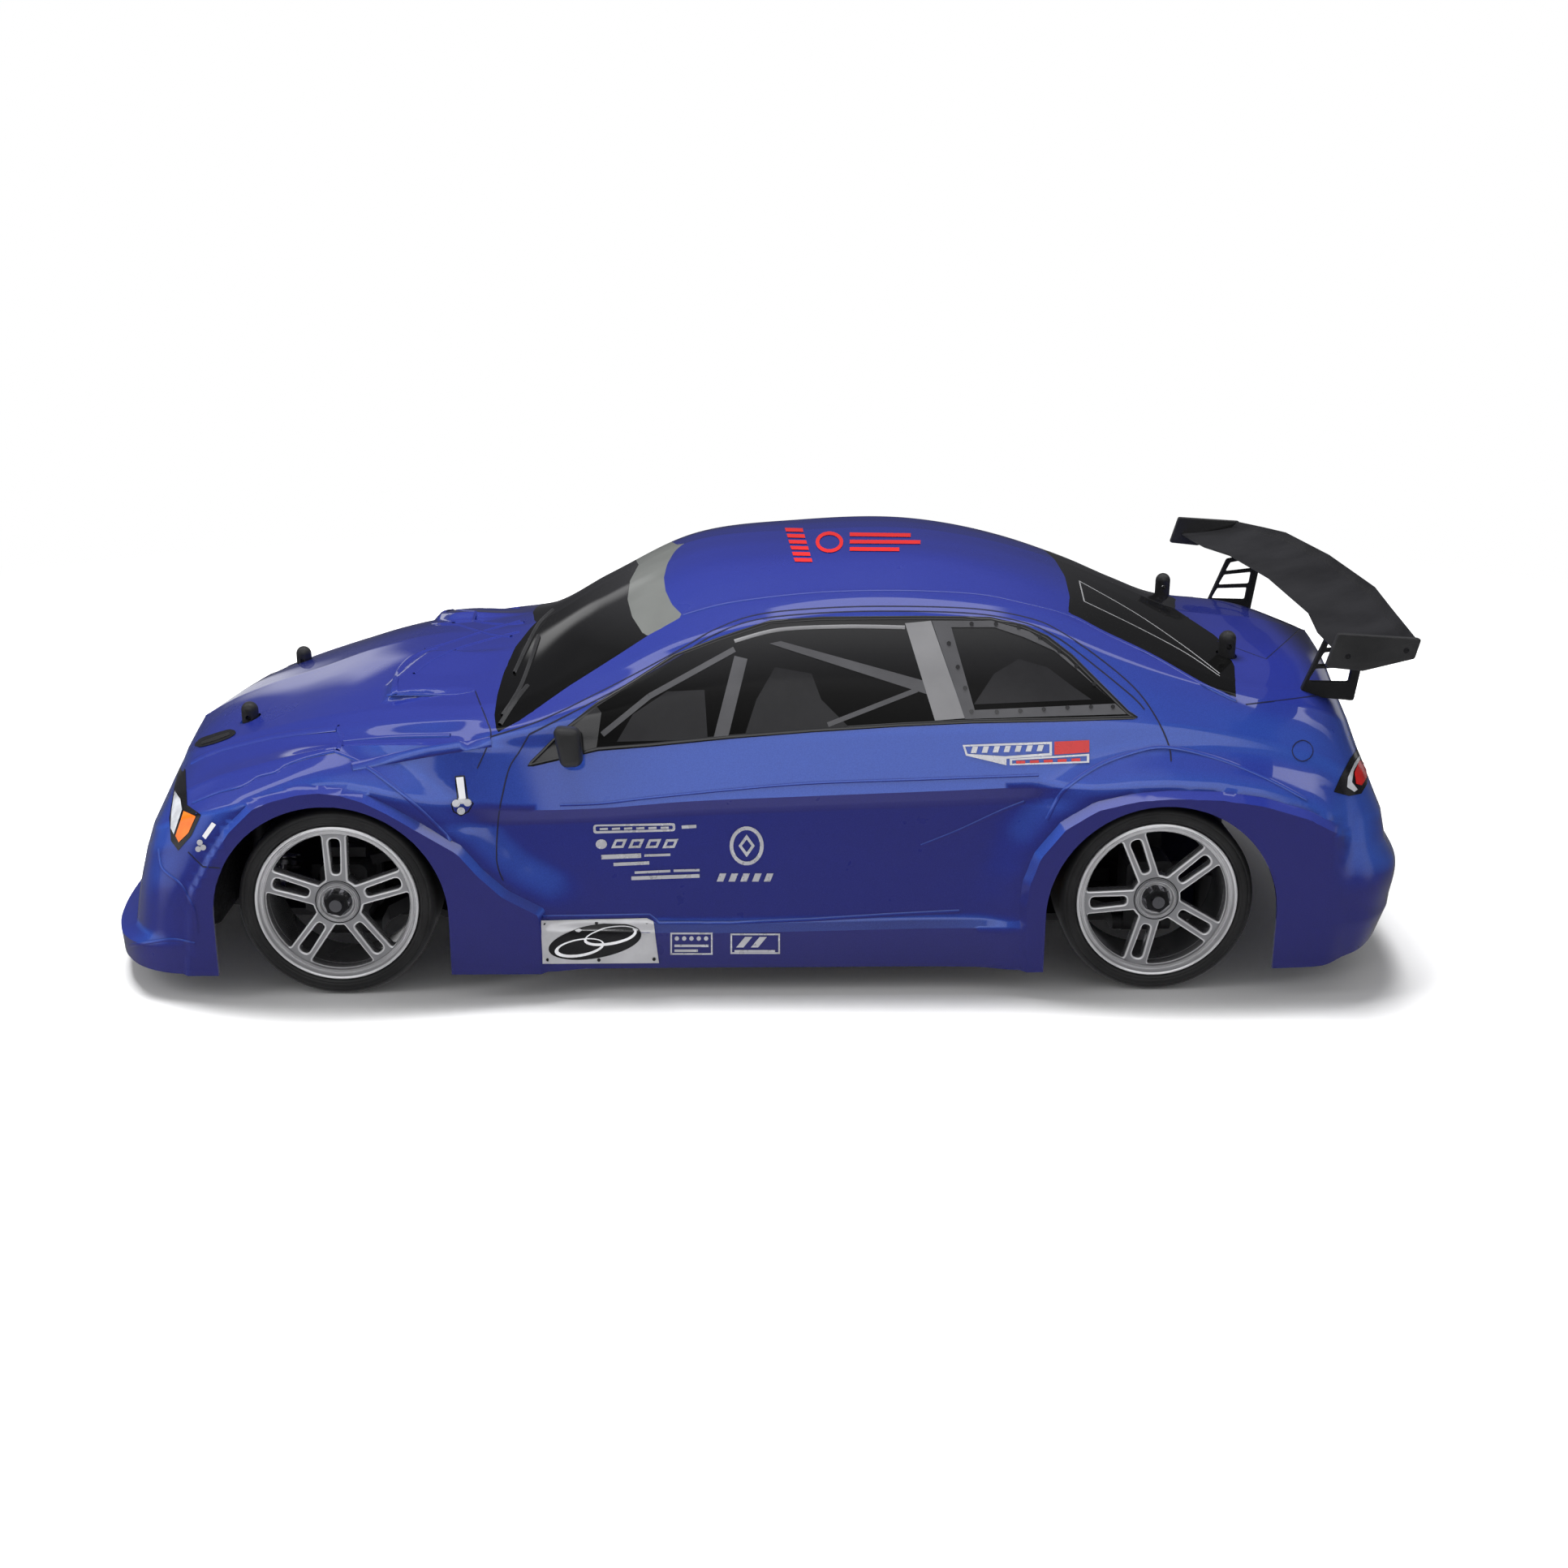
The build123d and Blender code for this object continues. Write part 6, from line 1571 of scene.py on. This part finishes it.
def blob(prev, c, inner, outer, strength):
    c = np.array(c, float) / np.linalg.norm(c)
    vm = N(nt, "ShaderNodeVectorMath", operation="DOT_PRODUCT")
    nt.links.new(tc.outputs["Generated"], vm.inputs[0])
    vm.inputs[1].default_value = tuple(c)
    m_ = N(nt, "ShaderNodeMapRange", interpolation_type="SMOOTHSTEP")
    m_.inputs["From Min"].default_value = math.cos(math.radians(outer))
    m_.inputs["From Max"].default_value = math.cos(math.radians(inner))
    m_.inputs["To Max"].default_value = strength
    nt.links.new(vm.outputs["Value"], m_.inputs["Value"])
    add = N(nt, "ShaderNodeMix", data_type="RGBA", blend_type="ADD")
    add.inputs[0].default_value = 1.0
    nt.links.new(prev, add.inputs[6])
    cc = N(nt, "ShaderNodeCombineColor")
    for q in range(3):
        nt.links.new(m_.outputs["Result"], cc.inputs[q])
    nt.links.new(cc.outputs["Color"], add.inputs[7])
    return add.outputs[2]


for c, a, b_, s_ in BLOBS:
    env = blob(env, c, a, b_, s_)


def strip_light(prev, elev0, elev1, soft, strength, xlim=0.8, toward=1):
    """a long soft box parallel to the car, between two elevations above the horizon on one side"""
    sp = N(nt, "ShaderNodeSeparateXYZ")
    nt.links.new(tc.outputs["Generated"], sp.inputs["Vector"])
    at = N(nt, "ShaderNodeMath", operation="ARCTAN2")
    nt.links.new(sp.outputs["Z"], at.inputs[0])
    if toward > 0:
        nt.links.new(sp.outputs["Y"], at.inputs[1])
    else:
        ng = N(nt, "ShaderNodeMath", operation="MULTIPLY")
        ng.inputs[1].default_value = -1
        nt.links.new(sp.outputs["Y"], ng.inputs[0])
        nt.links.new(ng.outputs[0], at.inputs[1])

    def sm(src, a, b):
        m_ = N(nt, "ShaderNodeMapRange", interpolation_type="SMOOTHSTEP")
        m_.inputs["From Min"].default_value = a
        m_.inputs["From Max"].default_value = b
        nt.links.new(src, m_.inputs["Value"])
        return m_.outputs["Result"]
    r_ = math.radians
    lo = sm(at.outputs[0], r_(elev0 - soft), r_(elev0 + soft))
    hi = sm(at.outputs[0], r_(elev1 + soft), r_(elev1 - soft))
    ax = N(nt, "ShaderNodeMath", operation="ABSOLUTE")
    nt.links.new(sp.outputs["X"], ax.inputs[0])
    xm = sm(ax.outputs[0], xlim + 0.12, xlim - 0.05)
    m1 = N(nt, "ShaderNodeMath", operation="MULTIPLY")
    m2 = N(nt, "ShaderNodeMath", operation="MULTIPLY")
    m3 = N(nt, "ShaderNodeMath", operation="MULTIPLY")
    nt.links.new(lo, m1.inputs[0]); nt.links.new(hi, m1.inputs[1])
    nt.links.new(m1.outputs[0], m2.inputs[0]); nt.links.new(xm, m2.inputs[1])
    nt.links.new(m2.outputs[0], m3.inputs[0]); m3.inputs[1].default_value = strength
    cc = N(nt, "ShaderNodeCombineColor")
    for q in range(3):
        nt.links.new(m3.outputs[0], cc.inputs[q])
    add = N(nt, "ShaderNodeMix", data_type="RGBA", blend_type="ADD")
    add.inputs[0].default_value = 1.0
    nt.links.new(prev, add.inputs[6])
    nt.links.new(cc.outputs["Color"], add.inputs[7])
    return add.outputs[2]


def wedge(prev, az, half, soft, el0, el1, esoft, strength):
    """soft upright panel on the far side, az degrees from -Y towards +X"""
    sp = N(nt, "ShaderNodeSeparateXYZ")
    nt.links.new(tc.outputs["Generated"], sp.inputs["Vector"])
    ng = N(nt, "ShaderNodeMath", operation="MULTIPLY")
    ng.inputs[1].default_value = -1
    nt.links.new(sp.outputs["Y"], ng.inputs[0])
    at = N(nt, "ShaderNodeMath", operation="ARCTAN2")
    nt.links.new(sp.outputs["X"], at.inputs[0])
    nt.links.new(ng.outputs[0], at.inputs[1])
    el = N(nt, "ShaderNodeMath", operation="ARCSINE")
    nt.links.new(sp.outputs["Z"], el.inputs[0])

    def sm(src, a, b):
        m_ = N(nt, "ShaderNodeMapRange", interpolation_type="SMOOTHSTEP")
        m_.inputs["From Min"].default_value = math.radians(a)
        m_.inputs["From Max"].default_value = math.radians(b)
        nt.links.new(src, m_.inputs["Value"])
        return m_.outputs["Result"]
    parts = [sm(at.outputs[0], az - half - soft, az - half), sm(at.outputs[0], az + half + soft, az + half),
             sm(el.outputs[0], el0 - esoft, el0), sm(el.outputs[0], el1 + esoft, el1)]
    acc = parts[0]
    for q in parts[1:]:
        m_ = N(nt, "ShaderNodeMath", operation="MULTIPLY")
        nt.links.new(acc, m_.inputs[0]); nt.links.new(q, m_.inputs[1])
        acc = m_.outputs[0]
    m_ = N(nt, "ShaderNodeMath", operation="MULTIPLY")
    nt.links.new(acc, m_.inputs[0]); m_.inputs[1].default_value = strength
    cc = N(nt, "ShaderNodeCombineColor")
    for q in range(3):
        nt.links.new(m_.outputs[0], cc.inputs[q])
    add = N(nt, "ShaderNodeMix", data_type="RGBA", blend_type="ADD")
    add.inputs[0].default_value = 1.0
    nt.links.new(prev, add.inputs[6])
    nt.links.new(cc.outputs["Color"], add.inputs[7])
    return add.outputs[2]


# behind the camera and straight overhead
env = strip_light(env, 19, 44, 1.5, 1.1, 0.55)
env = strip_light(env, 82, 96, 1.5, 2.2, 0.75)
# a tall narrow panel beyond the bonnet, on the far side
env = wedge(env, 19.6, 0.9, 2.4, -14, 15, 5, 0.66)
lp = N(nt, "ShaderNodeLightPath")
bgc, bgg, bgd = N(nt, "ShaderNodeBackground"), N(nt, "ShaderNodeBackground"), N(nt, "ShaderNodeBackground")
bgc.inputs[0].default_value = (1, 1, 1, 1)
bgd.inputs[0].default_value = (1, 1, 1, 1)
bgd.inputs[1].default_value = WORLD_DIFFUSE
nt.links.new(env, bgg.inputs[0])
mx1, mx2 = N(nt, "ShaderNodeMixShader"), N(nt, "ShaderNodeMixShader")
nt.links.new(lp.outputs["Is Glossy Ray"], mx1.inputs[0])
nt.links.new(bgd.outputs[0], mx1.inputs[1])
nt.links.new(bgg.outputs[0], mx1.inputs[2])
nt.links.new(lp.outputs["Is Camera Ray"], mx2.inputs[0])
nt.links.new(mx1.outputs[0], mx2.inputs[1])
nt.links.new(bgc.outputs[0], mx2.inputs[2])
nt.links.new(mx2.outputs[0], out.inputs["Surface"])


def area(name, loc, target, size, size_y, power, col=(1, 1, 1), glossy=True):
    L = bpy.data.lights.new(name, "AREA")
    L.shape = "RECTANGLE"
    L.size, L.size_y = size, size_y
    L.energy = power
    L.color = col
    o = bpy.data.objects.new(name, L)
    COL.objects.link(o)
    o.location = loc
    o.rotation_euler = (Vector(target) - Vector(loc)).to_track_quat("-Z", "Y").to_euler()
    o.visible_camera = False
    o.visible_glossy = glossy
    return o


area("top", (0.15, -0.35, 1.5), (0, 0, 0), 1.0, 0.55, 58, glossy=False)
area("fill", (0.0, 1.7, 0.30), (0, 0, 0.05), 1.8, 0.25, 2.4, glossy=False)
area("nose", (1.2, 0.5, 0.8), (0.1, 0, 0.06), 0.5, 0.9, 4, glossy=False)
